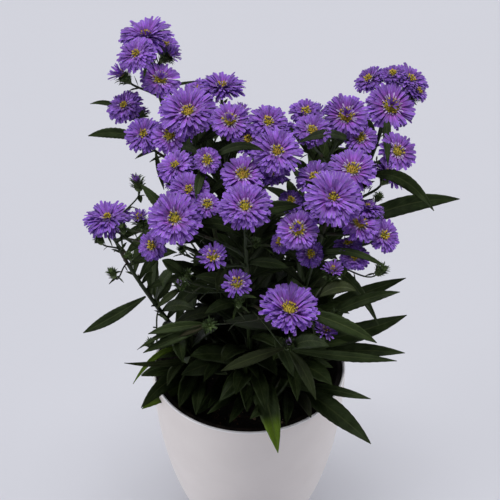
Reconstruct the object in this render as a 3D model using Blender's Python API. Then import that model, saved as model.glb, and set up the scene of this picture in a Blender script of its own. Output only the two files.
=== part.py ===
"""A New York aster in a white pot, at its real size, in metres, with +Z up.

The pot stands on Z = 0 and its axis is the Z axis. A dark liner pot stands inside it and holds the soil.
Eight stems grow out of the soil. Each one forks, and every fork ends in a double daisy-like flower head.
Long narrow leaves grow from the stems.

The heads and the leaf tips were read off one picture of the plant, taken from the front and above.
Each is named by where it was seen, in picture points of a 500 by 500 frame, and sight_line turns that
into a straight line in space. The crown is nearly an egg, so most heads sit where that line meets it.
"""

from collections import namedtuple
from math import cos, pi, radians, sin, sqrt, tan

import bmesh
import bpy
from mathutils import Quaternion, Vector

# Room between pieces that touch
GAP = 0.0003

# The white pot: its side is part of an ellipse, which would close at POT_CLOSES below the rim
POT_HEIGHT = 0.150
POT_RIM_RADIUS = 0.0698
POT_CLOSES = 0.176
POT_WALL = 0.002
POT_FLOOR = 0.0025
POT_FOOT_EDGE = 0.0012
POT_SIDE_POINTS = 9
POT_POINTS_LOW = 1.25
POT_RIM_TURNS = 4
POT_FACETS = 48

# The dark liner pot inside it
LINER_BELOW_RIM = 0.0012
LINER_RIM_RADIUS = 0.0673
LINER_LIP_WIDTH = 0.0022
LINER_LIP_HEIGHT = 0.005
LINER_LIP_SLOPE = 0.0008
LINER_LIP_EDGE = 0.0004
LINER_FOOT_RADIUS = 0.0315
LINER_WALL = 0.0012
LINER_FACETS = 36
DRAIN_HOLES = 5
DRAIN_RADIUS = 0.004
DRAIN_CIRCLE = 0.019
DRAIN_FACETS = 12

# The soil
SOIL_BELOW_RIM = 0.015
SOIL_CROWNING = 0.004
SOIL_EDGE_DROP = 0.001
SOIL_RING_SHARES = (0.95, 0.78, 0.55, 0.28)
SOIL_FACETS = 36

# Stems: width at the foot and at the tip, and width of a branch at its fork and at its head
STEM_FOOT_RADIUS = 0.0021
STEM_TIP_RADIUS = 0.0010
BRANCH_FORK_RADIUS = 0.00115
BRANCH_TIP_RADIUS = 0.00085
STEM_ROOT_DEPTH = 0.022
STEM_STRAIGHT_ABOVE_SOIL = 0.004
STEM_SIDES = 8
BRANCH_SIDES = 6
STEM_STEPS = 12
BRANCH_STEPS = 6
# How firmly a stem or a stalk is pulled into line with the flower it carries
FLOWER_PULL = 0.7

# A flower head, as shares of its radius or as sizes that all heads share
HEAD_FACETS = 12
HEAD_RIM_LIFT = 0.10
HEAD_RIM_THICKNESS = 0.0014
DISC_SHARE = 0.36
DISC_DOME = 0.0030
DISC_FOOT = 0.0006
CUP_DEPTH = 0.0085
CUP_RADIUS = 0.0042
CUP_MOST_SHARE = 0.5
CUP_FOOT_RADIUS = 0.0013
CUP_SHOULDER = 0.62
CUP_TOP = 0.0018

# A leaf
LEAF_THICKNESS = 0.0008
LEAF_STATIONS = 8
LEAF_FOLD = 0.22
LEAF_CLASP_SHARE = 0.14
LEAF_WIDEST_LATE = 1.15
LEAF_FULLNESS = 0.85
LEAF_TIP_RADIUS = 0.0003
# The direction that the leaves turn their faces to
FACING = Vector((0, -0.785, 0.619))

# How the plant was looked at: the eye looks along +Y and down, at a point above the soil
VIEW_DISTANCE = 0.950
VIEW_DOWN = radians(38.25)
VIEW_AIM = Vector((0.0008, 0.0, 0.2549))
VIEW_FOCAL = 1400.0
VIEW_MIDDLE = 250.0

# The crown of the plant
CROWN_CENTRE = Vector((0.010, 0.0, 0.262))
CROWN_RADII = Vector((0.120, 0.104, 0.108))

WHITE_PLASTIC = ("white_plastic", (0.78, 0.76, 0.77), 0.42)
DARK_PLASTIC = ("dark_plastic", (0.020, 0.015, 0.012), 0.55)
PEAT = ("peat", (0.020, 0.014, 0.010), 0.95)
STEM_GREEN = ("stem_green", (0.055, 0.085, 0.025), 0.60)
LEAF_GREEN = ("leaf_green", (0.022, 0.042, 0.014), 0.50)
RAY_PURPLE = ("ray_purple", (0.235, 0.085, 0.420), 0.60)

# Where each stem leaves the soil, in millimetres right of and behind the pot's axis
FEET = {
    "stem_1": (-12, 10),
    "stem_2": (-9, -4),
    "stem_3": (0, 14),
    "stem_4": (11, 10),
    "stem_5": (22, 1),
    "stem_6": (27, -16),
    "stem_7": (1, -17),
    "stem_8": (-32, -1),
}
# How far a stem leans out as it leaves the soil: millimetres to the right for each millimetre of height
FOOT_LEANS = {"stem_8": -0.45}


def sight_line(seen):
    """The eye, and the direction from it through a picture point."""
    back = Vector((0, -cos(VIEW_DOWN), sin(VIEW_DOWN)))
    above = Vector((0, sin(VIEW_DOWN), cos(VIEW_DOWN)))
    right = Vector((1, 0, 0))
    u, v = seen
    way = -back + right * ((u - VIEW_MIDDLE) / VIEW_FOCAL) + above * ((VIEW_MIDDLE - v) / VIEW_FOCAL)
    return VIEW_AIM + back * VIEW_DISTANCE, way.normalized()


def on_crown(u, v, nearer=0):
    """Where the sight line of picture point (u, v) meets the crown, or passes nearest to it if it misses.

    nearer moves the place along the line, towards the eye, in millimetres."""
    eye, way = sight_line((u, v))
    start = Vector(((eye[k] - CROWN_CENTRE[k]) / CROWN_RADII[k] for k in range(3)))
    run = Vector((way[k] / CROWN_RADII[k] for k in range(3)))
    nearest = -start.dot(run) / run.dot(run)
    spare = 1 - (start + run * nearest).length_squared
    reach = nearest - (sqrt(spare) / run.length if spare > 0 else 0)
    return eye + way * (reach - nearer / 1000)


def in_front(u, v, near):
    """Where that sight line crosses the upright plane that lies near millimetres in front of the axis."""
    eye, way = sight_line((u, v))
    return eye + way * ((-near / 1000 - eye.y) / way.y)


def hidden(x, y, z):
    """A place behind the crown that the picture doesn't show, in millimetres."""
    return Vector((x, y, z)) / 1000


# across: the head's diameter in millimetres. lean: how far it tips from upright, to the right and to the
# front, in degrees. fork: the share of the stem's height where its stalk leaves, or 1 for the stem's tip.
Head = namedtuple("Head", "middle across lean stem fork")

HEADS = {
    "flower_01": Head(on_crown(146, 36), 36, (-6, 2), "stem_1", 1.0),
    "flower_02": Head(on_crown(137, 55, 31), 26, (-16, 20), "stem_1", 0.93),
    "flower_03": Head(on_crown(160, 80, 14), 27, (10, 18), "stem_1", 0.74),
    "flower_04": Head(on_crown(125, 107), 26, (-20, 16), "stem_1", 0.64),
    "flower_05": Head(on_crown(144, 135), 26, (-8, 26), "stem_1", 0.56),
    "flower_06": Head(on_crown(188, 112), 38, (-4, 22), "stem_2", 1.0),
    "flower_07": Head(on_crown(170, 136, -12), 25, (-12, 30), "stem_2", 0.76),
    "flower_08": Head(on_crown(176, 167, -10), 26, (-20, 12), "stem_2", 0.64),
    "flower_09": Head(on_crown(189, 191), 27, (-4, 24), "stem_2", 0.54),
    "flower_10": Head(on_crown(222, 87), 31, (2, -4), "stem_3", 1.0),
    "flower_11": Head(on_crown(230, 121), 25, (2, 30), "stem_3", 0.78),
    "flower_12": Head(on_crown(268, 123), 26, (6, 20), "stem_3", 0.74),
    "flower_13": Head(on_crown(277, 152), 32, (4, 24), "stem_3", 0.64),
    "flower_14": Head(on_crown(243, 175, -6), 29, (-2, 18), "stem_3", 0.56),
    "flower_15": Head(on_crown(346, 116), 30, (4, 34), "stem_4", 1.0),
    "flower_16": Head(on_crown(312, 131), 24, (0, 20), "stem_4", 0.72),
    "flower_17": Head(on_crown(352, 170), 31, (4, 18), "stem_4", 0.60),
    "flower_18": Head(on_crown(391, 107, 6), 34, (8, 32), "stem_5", 0.74),
    "flower_19": Head(on_crown(370, 80, -14), 23, (-34, 8), "stem_5", 1.0),
    "flower_20": Head(on_crown(410, 80, -11), 26, (26, 6), "stem_5", 0.80),
    "flower_21": Head(on_crown(397, 152), 26, (18, 34), "stem_5", 0.64),
    "flower_22": Head(on_crown(333, 198, 12), 36, (2, 30), "stem_6", 1.0),
    "flower_23": Head(on_crown(298, 230), 26, (-6, 32), "stem_6", 0.76),
    "flower_24": Head(on_crown(359, 224), 26, (14, 18), "stem_6", 0.76),
    "flower_25": Head(on_crown(383, 236), 22, (28, 34), "stem_6", 0.58),
    "flower_26": Head(on_crown(245, 207, 8), 33, (0, 22), "stem_7", 1.0),
    "flower_27": Head(on_crown(175, 219, 10), 34, (-10, 34), "stem_7", 0.70),
    "flower_28": Head(on_crown(213, 257), 18, (-6, 24), "stem_7", 0.64),
    "flower_29": Head(on_crown(237, 284), 18, (-2, 28), "stem_7", 0.52),
    "flower_30": Head(on_crown(289, 310), 38, (6, 10), "stem_7", 0.42),
    "flower_31": Head(on_crown(108, 219), 31, (-10, 4), "stem_8", 1.0),
    "flower_32": Head(hidden(-46, 78, 285), 30, (-12, -34), "stem_1", 0.48),
    "flower_33": Head(hidden(4, 90, 276), 32, (0, -40), "stem_3", 0.48),
    "flower_34": Head(hidden(54, 80, 284), 30, (12, -32), "stem_4", 0.42),
    "flower_35": Head(hidden(96, 44, 286), 28, (34, -18), "stem_5", 0.54),
}

# at: the share of the stem's height where the leaf sits. width and arch, how far its middle rises above
# the straight line to its tip, are in millimetres. roll turns the blade about its midrib, in degrees.
Leaf = namedtuple("Leaf", "stem at tip width arch roll")

LEAVES = {
    "leaf_01": Leaf("stem_8", 0.53, in_front(83, 333, 26), 9.0, -1, 0),
    "leaf_02": Leaf("stem_2", 0.13, in_front(124, 363, 32), 5.5, -6, 0),
    "leaf_03": Leaf("stem_8", 0.03, in_front(141, 408, 50), 12.0, 6, 0),
    "leaf_04": Leaf("stem_7", 0.04, in_front(278, 453, 84), 18.0, 20, 0),
    "leaf_05": Leaf("stem_6", 0.04, in_front(371, 444, 78), 16.0, 8, 0),
    "leaf_06": Leaf("stem_6", 0.02, in_front(371, 399, 54), 8.0, 1, 0),
    "leaf_07": Leaf("stem_6", 0.12, in_front(344, 317, 28), 10.0, -2, 0),
    "leaf_08": Leaf("stem_5", 0.06, in_front(405, 353, 14), 12.0, 3, 0),
    "leaf_09": Leaf("stem_5", 0.11, in_front(407, 315, 8), 15.0, -3, 0),
    "leaf_10": Leaf("stem_5", 0.18, in_front(406, 278, 6), 11.0, 3, 0),
    "leaf_11": Leaf("stem_5", 0.46, in_front(460, 199, 10), 13.0, 9, 0),
    "leaf_12": Leaf("stem_5", 0.635, in_front(434, 211, 24), 10.0, 12, 0),
    "leaf_13": Leaf("stem_8", 0.02, in_front(196, 415, 57), 12.0, 6, 0),
    "leaf_14": Leaf("stem_6", 0.29, in_front(225, 321, 52), 13.0, 2, 0),
}


def clear_scene():
    """Start with nothing in the scene."""
    for thing in list(bpy.data.objects):
        bpy.data.objects.remove(thing)


def material(name, colour, roughness):
    made = bpy.data.materials.get(name)
    if made is None:
        made = bpy.data.materials.new(name)
        made.use_nodes = True
        shader = made.node_tree.nodes["Principled BSDF"]
        shader.inputs["Base Color"].default_value = (*colour, 1.0)
        shader.inputs["Roughness"].default_value = roughness
        shader.inputs["Metallic"].default_value = 0.0
        made.diffuse_color = (*colour, 1.0)
    return made


def place(name, bm, finish, sharp_above=40):
    """Turn a bmesh into a named object, its faces pointing out and shaded smooth."""
    bmesh.ops.recalc_face_normals(bm, faces=bm.faces)
    mesh = bpy.data.meshes.new(name)
    bm.to_mesh(mesh)
    bm.free()
    mesh.shade_smooth()
    mesh.set_sharp_from_angle(angle=radians(sharp_above))
    mesh.materials.append(material(*finish))
    made = bpy.data.objects.new(name, mesh)
    bpy.context.scene.collection.objects.link(made)
    return made


def combine(target, other, operation):
    """Join another solid to the target, or cut it out, and keep the other only as a guide."""
    step = target.modifiers.new(f"{operation.lower()}_{other.name}", "BOOLEAN")
    step.operation = operation
    step.solver = "EXACT"
    step.object = other
    other.hide_render = True
    other.display_type = "WIRE"


def turned(profile, facets):
    """A body of revolution. The profile is a list of (radius, height) that starts and ends on the axis."""
    bm = bmesh.new()
    rings = []
    for radius, height in profile:
        if radius == 0:
            rings.append([bm.verts.new((0, 0, height))])
            continue
        angles = [2 * pi * k / facets for k in range(facets)]
        rings.append([bm.verts.new((radius * cos(a), radius * sin(a), height)) for a in angles])
    for low, high in zip(rings, rings[1:]):
        for k in range(facets):
            n = (k + 1) % facets
            corners = [low[k % len(low)], low[n % len(low)], high[n % len(high)], high[k % len(high)]]
            bm.faces.new(list(dict.fromkeys(corners)))
    return bm


def skin(rings):
    """A closed skin over a row of rings of points, with flat ends."""
    bm = bmesh.new()
    made = [[bm.verts.new(point) for point in ring] for ring in rings]
    count = len(made[0])
    for low, high in zip(made, made[1:]):
        for k in range(count):
            n = (k + 1) % count
            bm.faces.new((low[k], low[n], high[n], high[k]))
    bm.faces.new(list(reversed(made[0])))
    bm.faces.new(made[-1])
    return bm


def hermite(start, start_pull, end, end_pull, steps):
    """Points along the smooth curve that leaves start and reaches end along the two pulls."""
    points = []
    for k in range(steps + 1):
        t = k / steps
        a = 2 * t**3 - 3 * t**2 + 1
        b = t**3 - 2 * t**2 + t
        c = -2 * t**3 + 3 * t**2
        d = t**3 - t**2
        points.append(start * a + start_pull * b + end * c + end_pull * d)
    return points


def tube(points, radii, sides):
    """A round rod along the points. Its cross-section is carried along without twisting."""
    ways = [(b - a).normalized() for a, b in zip(points, points[1:])]
    ways = [ways[0], *[(a + b).normalized() for a, b in zip(ways, ways[1:])], ways[-1]]
    across = ways[0].orthogonal().normalized()
    rings = []
    for point, way, radius in zip(points, ways, radii):
        across = (across - way * across.dot(way)).normalized()
        other = way.cross(across)
        turns = [2 * pi * k / sides for k in range(sides)]
        rings.append([point + (across * cos(a) + other * sin(a)) * radius for a in turns])
    return skin(rings)


def blend_values(first, last, count):
    return [first + (last - first) * k / (count - 1) for k in range(count)]


def head_axis(lean):
    right, front = lean
    return Vector((tan(radians(right)), -tan(radians(front)), 1.0)).normalized()


def head_back(head):
    """The point where the stalk's end meets the head's green cup."""
    return head.middle - head_axis(head.lean) * (CUP_DEPTH + GAP)


def pot_radius(height):
    return POT_RIM_RADIUS * sqrt(1 - ((POT_HEIGHT - height) / POT_CLOSES) ** 2)


def pot_side_heights():
    """Heights up the side, closer together near the foot, where it curves most."""
    shares = [k / (POT_SIDE_POINTS - 1) for k in range(POT_SIDE_POINTS)]
    return [POT_HEIGHT * share**POT_POINTS_LOW for share in shares]


def build_pot():
    rim_round = POT_WALL / 2
    heights = pot_side_heights()
    outside = [(pot_radius(h), h) for h in heights[1:-1]]
    inside = [(pot_radius(h) - POT_WALL, h) for h in reversed(heights[1:-1]) if h > 2 * POT_FLOOR]
    rim_middle = POT_RIM_RADIUS - rim_round
    rim_turns = [pi * k / POT_RIM_TURNS for k in range(POT_RIM_TURNS + 1)]
    rim_base = POT_HEIGHT - rim_round
    rim = [(rim_middle + rim_round * cos(a), rim_base + rim_round * sin(a)) for a in rim_turns]
    profile = [(0, 0), (pot_radius(0) - POT_FOOT_EDGE, 0), (pot_radius(0), POT_FOOT_EDGE)]
    profile += outside + rim + inside
    profile += [(pot_radius(POT_FLOOR) - POT_WALL, POT_FLOOR), (0, POT_FLOOR)]
    place("pot", turned(profile, POT_FACETS), WHITE_PLASTIC)


def liner_floor():
    return POT_FLOOR + GAP


def liner_rim():
    return POT_HEIGHT - LINER_BELOW_RIM


def liner_radius(height):
    """Outer radius of the liner's straight side, under its lip."""
    share = (height - liner_floor()) / (liner_rim() - liner_floor())
    return LINER_FOOT_RADIUS + (LINER_RIM_RADIUS - LINER_LIP_WIDTH - LINER_FOOT_RADIUS) * share


def build_liner():
    top = liner_rim()
    under_lip = top - LINER_LIP_HEIGHT
    bottom = liner_floor()
    profile = [
        (0, bottom),
        (LINER_FOOT_RADIUS, bottom),
        (liner_radius(under_lip), under_lip),
        (LINER_RIM_RADIUS, under_lip + LINER_LIP_SLOPE),
        (LINER_RIM_RADIUS, top - LINER_LIP_EDGE),
        (LINER_RIM_RADIUS - LINER_LIP_EDGE, top),
        (liner_radius(top) - LINER_WALL, top),
        (LINER_FOOT_RADIUS - LINER_WALL, bottom + LINER_WALL),
        (0, bottom + LINER_WALL),
    ]
    liner = place("liner_pot", turned(profile, LINER_FACETS), DARK_PLASTIC)
    for k in range(DRAIN_HOLES):
        angle = 2 * pi * k / DRAIN_HOLES
        centre = Vector((cos(angle), sin(angle), 0)) * DRAIN_CIRCLE
        low = centre + Vector((0, 0, bottom - LINER_WALL))
        high = centre + Vector((0, 0, bottom + 2 * LINER_WALL))
        drill = tube([low, high], [DRAIN_RADIUS] * 2, DRAIN_FACETS)
        combine(liner, place(f"drain_drill_{k + 1}", drill, DARK_PLASTIC), "DIFFERENCE")


def soil_edge_height():
    return POT_HEIGHT - SOIL_BELOW_RIM


def soil_height(radius):
    """The soil is a little higher in the middle."""
    edge = liner_radius(soil_edge_height())
    return soil_edge_height() + SOIL_CROWNING * (1 - (radius / edge) ** 2)


def build_soil():
    bottom = liner_floor() + LINER_WALL + GAP
    side_gap = LINER_WALL + GAP
    edge = liner_radius(soil_edge_height()) - side_gap
    rings = [edge * share for share in SOIL_RING_SHARES]
    profile = [(0, bottom), (liner_radius(bottom) - side_gap, bottom)]
    profile += [(edge, soil_edge_height() - SOIL_EDGE_DROP)]
    profile += [(radius, soil_height(radius)) for radius in rings] + [(0, soil_height(0))]
    soil = place("soil", turned(profile, SOIL_FACETS), PEAT)
    for name, foot in FEET.items():
        low, high = foot_points(foot)
        socket = tube([low - Vector((0, 0, GAP)), high], [STEM_FOOT_RADIUS + GAP] * 2, STEM_SIDES)
        combine(soil, place(f"socket_of_{name}", socket, PEAT), "DIFFERENCE")


def foot_points(foot):
    """The buried end of a stem, and the point just above the soil where it starts to curve."""
    x, y = foot[0] / 1000, foot[1] / 1000
    surface = soil_height(sqrt(x * x + y * y))
    return Vector((x, y, surface - STEM_ROOT_DEPTH)), Vector((x, y, surface + STEM_STRAIGHT_ABOVE_SOIL))


def stem_route(name):
    """Points up a main stem: a straight foot in the soil, then one smooth curve to its own flower."""
    low, high = foot_points(FEET[name])
    tip_head = next(h for h in HEADS.values() if h.stem == name and h.fork == 1.0)
    end = head_back(tip_head)
    reach = (end - high).length
    arriving = head_axis(tip_head.lean) * reach * FLOWER_PULL
    leaving = Vector((FOOT_LEANS.get(name, 0), 0, 1)).normalized() * reach
    return [low, *hermite(high, leaving, end, arriving, STEM_STEPS)]


def along(route, share):
    """The point and the direction at a share of a main stem's height above its foot."""
    curve = route[1:]
    position = share * (len(curve) - 1)
    k = min(int(position), len(curve) - 2)
    step = curve[k + 1] - curve[k]
    return curve[k] + step * (position - k), step.normalized()


def stem_radius(share):
    return STEM_FOOT_RADIUS + (STEM_TIP_RADIUS - STEM_FOOT_RADIUS) * share


def branch_route(route, head):
    """Points from the fork to the back of the head: out of the stem at a slant, then up into the cup."""
    start, way = along(route, head.fork)
    end = head_back(head)
    reach = (end - start).length
    leaving = (way + (end - start).normalized()).normalized() * reach
    arriving = head_axis(head.lean) * reach * FLOWER_PULL
    return hermite(start, leaving, end, arriving, BRANCH_STEPS)


def build_stem(name):
    route = stem_route(name)
    radii = [STEM_FOOT_RADIUS, *blend_values(STEM_FOOT_RADIUS, STEM_TIP_RADIUS, STEM_STEPS + 1)]
    stem = place(name, tube(route, radii, STEM_SIDES), STEM_GREEN)
    for flower, head in HEADS.items():
        if head.stem == name and head.fork < 1.0:
            radii = blend_values(BRANCH_FORK_RADIUS, BRANCH_TIP_RADIUS, BRANCH_STEPS + 1)
            stalk = tube(branch_route(route, head), radii, BRANCH_SIDES)
            combine(stem, place(f"stalk_of_{flower}", stalk, STEM_GREEN), "UNION")


def build_flower(name, head):
    """One head as a solid: a green cup behind, a dished plate of rays, and a domed disc in the middle."""
    radius = head.across / 2000
    disc = radius * DISC_SHARE
    lift = radius * HEAD_RIM_LIFT
    cup = min(CUP_RADIUS, radius * CUP_MOST_SHARE)
    profile = [
        (0, -CUP_DEPTH),
        (CUP_FOOT_RADIUS, -CUP_DEPTH),
        (cup, -CUP_DEPTH * CUP_SHOULDER),
        (cup, -CUP_TOP),
        (radius, lift - HEAD_RIM_THICKNESS),
        (radius, lift),
        (disc, DISC_FOOT),
        (disc / 2, DISC_DOME * 0.85),
        (0, DISC_DOME),
    ]
    made = place(name, turned(profile, HEAD_FACETS), RAY_PURPLE)
    made.location = head.middle
    made.rotation_mode = "QUATERNION"
    made.rotation_quaternion = Vector((0, 0, 1)).rotation_difference(head_axis(head.lean))


def leaf_width(share, width):
    """A lance shape: narrow where it clasps the stem, widest a little past the middle, pointed at its tip."""
    swell = sin(pi * share**LEAF_WIDEST_LATE) ** LEAF_FULLNESS
    return width * (LEAF_CLASP_SHARE * (1 - share) + (1 - LEAF_CLASP_SHARE) * swell)


def leaf_spine(leaf):
    """Points along the midrib, from just off the stem to the tip."""
    route = stem_route(leaf.stem)
    centre, way = along(route, leaf.at)
    out = leaf.tip - centre
    out = (out - way * out.dot(way)).normalized()
    base = centre + out * (stem_radius(leaf.at) + LEAF_THICKNESS)
    middle = (base + leaf.tip) / 2 + Vector((0, 0, 2 * leaf.arch / 1000))
    shares = [k / (LEAF_STATIONS - 1) for k in range(LEAF_STATIONS)]
    return [base * (1 - t) ** 2 + middle * 2 * t * (1 - t) + leaf.tip * t**2 for t in shares]


def build_leaf(name, leaf):
    """A thin blade folded a little along its midrib: four points at each station, two ribs and two edges.

    Its face is turned up and to the front, where the light comes from."""
    spine = leaf_spine(leaf)
    across = (spine[-1] - spine[0]).cross(FACING)
    rings = []
    for k, point in enumerate(spine):
        way = (spine[min(k + 1, LEAF_STATIONS - 1)] - spine[max(k - 1, 0)]).normalized()
        side = (across - way * across.dot(way)).normalized()
        side.rotate(Quaternion(way, radians(leaf.roll)))
        face = side.cross(way)
        half = max(leaf_width(k / (LEAF_STATIONS - 1), leaf.width) / 2000, LEAF_TIP_RADIUS)
        fold = face * half * LEAF_FOLD
        rib = face * LEAF_THICKNESS / 2
        rings.append([point + side * half + fold, point + rib, point - side * half + fold, point - rib])
    place(name, skin(rings), LEAF_GREEN, sharp_above=70)


def main():
    clear_scene()
    build_pot()
    build_liner()
    build_soil()
    for name in FEET:
        build_stem(name)
    for name, head in HEADS.items():
        build_flower(name, head)
    for name, leaf in LEAVES.items():
        build_leaf(name, leaf)


main()
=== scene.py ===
"""The looks of a New York aster in a white pot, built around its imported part.

Everything is in metres, in the part's own frame: the pot stands on Z = 0, +Z is up and -Y is the front.
The camera comes first, because it says where the places that the photograph shows lie. The sections then
follow the plant as it is put together: pot, liner, soil, stems, flowers, buds and leaves, and last the
floor and the light.
"""

import math
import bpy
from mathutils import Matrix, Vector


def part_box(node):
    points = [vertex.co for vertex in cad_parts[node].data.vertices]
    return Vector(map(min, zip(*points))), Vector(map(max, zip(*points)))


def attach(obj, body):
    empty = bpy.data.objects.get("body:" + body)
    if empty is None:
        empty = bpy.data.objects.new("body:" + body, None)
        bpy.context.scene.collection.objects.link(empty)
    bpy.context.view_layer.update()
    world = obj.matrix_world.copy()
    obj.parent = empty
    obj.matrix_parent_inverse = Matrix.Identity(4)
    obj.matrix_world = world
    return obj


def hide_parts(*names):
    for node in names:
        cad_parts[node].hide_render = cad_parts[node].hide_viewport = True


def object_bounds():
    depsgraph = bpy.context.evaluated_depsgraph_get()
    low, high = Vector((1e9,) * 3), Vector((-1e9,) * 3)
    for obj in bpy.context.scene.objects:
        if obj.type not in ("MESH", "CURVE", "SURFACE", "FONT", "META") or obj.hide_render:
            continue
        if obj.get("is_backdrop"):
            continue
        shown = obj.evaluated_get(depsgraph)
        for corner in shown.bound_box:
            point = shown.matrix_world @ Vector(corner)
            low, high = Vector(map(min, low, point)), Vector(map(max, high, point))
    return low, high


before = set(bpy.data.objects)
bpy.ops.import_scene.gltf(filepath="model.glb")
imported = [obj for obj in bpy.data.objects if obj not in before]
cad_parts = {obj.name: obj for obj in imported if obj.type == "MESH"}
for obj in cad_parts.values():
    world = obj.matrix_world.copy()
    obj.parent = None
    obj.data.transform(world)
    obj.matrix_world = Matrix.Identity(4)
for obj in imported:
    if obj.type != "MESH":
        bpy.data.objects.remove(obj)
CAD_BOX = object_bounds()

import zlib
from collections import namedtuple

import bmesh
import bpy
import numpy as np
from mathutils import Vector, noise

# The camera looks at the plant from the front and above, from where the ellipse of the pot's rim puts it.
# Its picture is 500 points wide and high, and its focal length is given in the same points.
VIEW_AIM = np.array((0.0008, 0.0, 0.2549))
VIEW_DISTANCE = 0.950
VIEW_DOWN = math.radians(38.25)
VIEW_FOCAL = 1400.0
VIEW_SIZE = 500.0
VIEW_SENSOR = 36.0
VIEW_AHEAD = np.array((0.0, math.cos(VIEW_DOWN), -math.sin(VIEW_DOWN)))
VIEW_ABOVE = np.array((0.0, math.sin(VIEW_DOWN), math.cos(VIEW_DOWN)))
VIEW_RIGHT = np.array((1.0, 0.0, 0.0))
EYE = VIEW_AIM - VIEW_AHEAD * VIEW_DISTANCE

camera = bpy.data.objects.new("camera", bpy.data.cameras.new("camera"))
camera.data.sensor_width = VIEW_SENSOR
camera.data.lens = VIEW_FOCAL * VIEW_SENSOR / VIEW_SIZE
camera.location = EYE
camera.rotation_euler = (math.pi / 2 - VIEW_DOWN, 0, 0)
bpy.context.scene.collection.objects.link(camera)
bpy.context.scene.camera = camera


# The outer pot is one moulded shell of white satin plastic: a smooth side that tapers like an egg to a flat
# foot, and a thin rounded rim. Its side is part of an ellipse, as in the part.
POT_HEIGHT = 0.150
POT_RIM_RADIUS = 0.0698
POT_CLOSES = 0.176
POT_WALL = 0.002
POT_FLOOR = 0.0025
POT_FOOT_EDGE = 0.0012
POT_SIDE_STEPS = 40
POT_STEPS_CROWDING = 1.25
POT_RIM_STEPS = 8
POT_FACETS = 160
POT_WHITE = (0.82, 0.765, 0.745)
POT_SHADE = (0.76, 0.705, 0.69)
POT_MARK = (0.34, 0.25, 0.20)
POT_RIM_HIGHLIGHT = (0.93, 0.92, 0.95)
SHARP_ANGLE = math.radians(40)
BODY = "root"


def pot_radius(height):
    return POT_RIM_RADIUS * math.sqrt(1 - ((POT_HEIGHT - height) / POT_CLOSES) ** 2)


def turned(name, profile, facets):
    """A body of revolution from a list of (radius, height) that starts and ends on the axis."""
    bm = bmesh.new()
    rings = []
    for radius, height in profile:
        if radius == 0:
            rings.append([bm.verts.new((0, 0, height))])
            continue
        turns = [2 * math.pi * k / facets for k in range(facets)]
        rings.append([bm.verts.new((radius * math.cos(a), radius * math.sin(a), height)) for a in turns])
    for low, high in zip(rings, rings[1:]):
        for k in range(facets):
            n = (k + 1) % facets
            corners = [low[k % len(low)], low[n % len(low)], high[n % len(high)], high[k % len(high)]]
            bm.faces.new(list(dict.fromkeys(corners)))
    bmesh.ops.recalc_face_normals(bm, faces=bm.faces)
    mesh = bpy.data.meshes.new(name)
    bm.to_mesh(mesh)
    bm.free()
    mesh.shade_smooth()
    mesh.set_sharp_from_angle(angle=SHARP_ANGLE)
    piece = bpy.data.objects.new(name, mesh)
    bpy.context.scene.collection.objects.link(piece)
    return piece


def belongs(piece, slot, *nodes):
    """The piece rides on the part's one body and may stand for CAD nodes; the slot is not used."""
    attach(piece, BODY)
    if nodes:
        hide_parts(*nodes)


def new_finish(name, roughness, gloss):
    """A material with its own Principled shader, whose even values are set here."""
    finish = bpy.data.materials.new(name)
    finish.use_nodes = True
    shader = finish.node_tree.nodes["Principled BSDF"]
    shader.inputs["Roughness"].default_value = roughness
    shader.inputs["Specular IOR Level"].default_value = gloss
    return finish, finish.node_tree, shader


def feed(tree, value, socket):
    """Give a socket a value, or link it to another node's output."""
    if isinstance(value, bpy.types.NodeSocket):
        tree.links.new(value, socket)
    elif isinstance(value, tuple) and len(value) == 3 and socket.type == "RGBA":
        socket.default_value = (*value, 1.0)
    else:
        socket.default_value = value


def put(tree, kind, **inputs):
    """A shader node. Its inputs are given by name, with _ for a space."""
    node = tree.nodes.new("ShaderNode" + kind)
    for key, value in inputs.items():
        feed(tree, value, node.inputs[key.replace("_", " ")])
    return node


def calc(tree, operation, *values):
    node = tree.nodes.new("ShaderNodeMath")
    node.operation = operation
    for value, socket in zip(values, node.inputs):
        feed(tree, value, socket)
    return node.outputs[0]


def tint(tree, base, colour, mask, strength=1.0):
    """The base colour with another over it, as strongly as a mask and a number or second mask say."""
    node = tree.nodes.new("ShaderNodeMix")
    node.data_type = "RGBA"
    feed(tree, mask if strength == 1.0 else calc(tree, "MULTIPLY", mask, strength), node.inputs[0])
    feed(tree, base, node.inputs[6])
    feed(tree, colour, node.inputs[7])
    return node.outputs[2]


def rise(tree, value, low, high, start=0.0, end=1.0):
    """A smooth step from start to end as the value goes from low to high."""
    node = tree.nodes.new("ShaderNodeMapRange")
    node.interpolation_type = "SMOOTHSTEP"
    for key, number in (("Value", value), ("From Min", low), ("From Max", high)):
        feed(tree, number, node.inputs[key])
    feed(tree, start, node.inputs["To Min"])
    feed(tree, end, node.inputs["To Max"])
    return node.outputs[0]


def place_coordinates(tree):
    """The place on the object in the part's frame, in metres."""
    return tree.nodes.new("ShaderNodeTexCoord").outputs["Object"]


def new_group(name, inputs, outputs):
    """An empty shader group with float or vector sockets, and its two end nodes."""
    group = bpy.data.node_groups.new(name, "ShaderNodeTree")
    for socket, kind in inputs:
        group.interface.new_socket(socket, in_out="INPUT", socket_type="NodeSocket" + kind)
    for socket, kind in outputs:
        group.interface.new_socket(socket, in_out="OUTPUT", socket_type="NodeSocket" + kind)
    return group, group.nodes.new("NodeGroupInput"), group.nodes.new("NodeGroupOutput")


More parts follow.
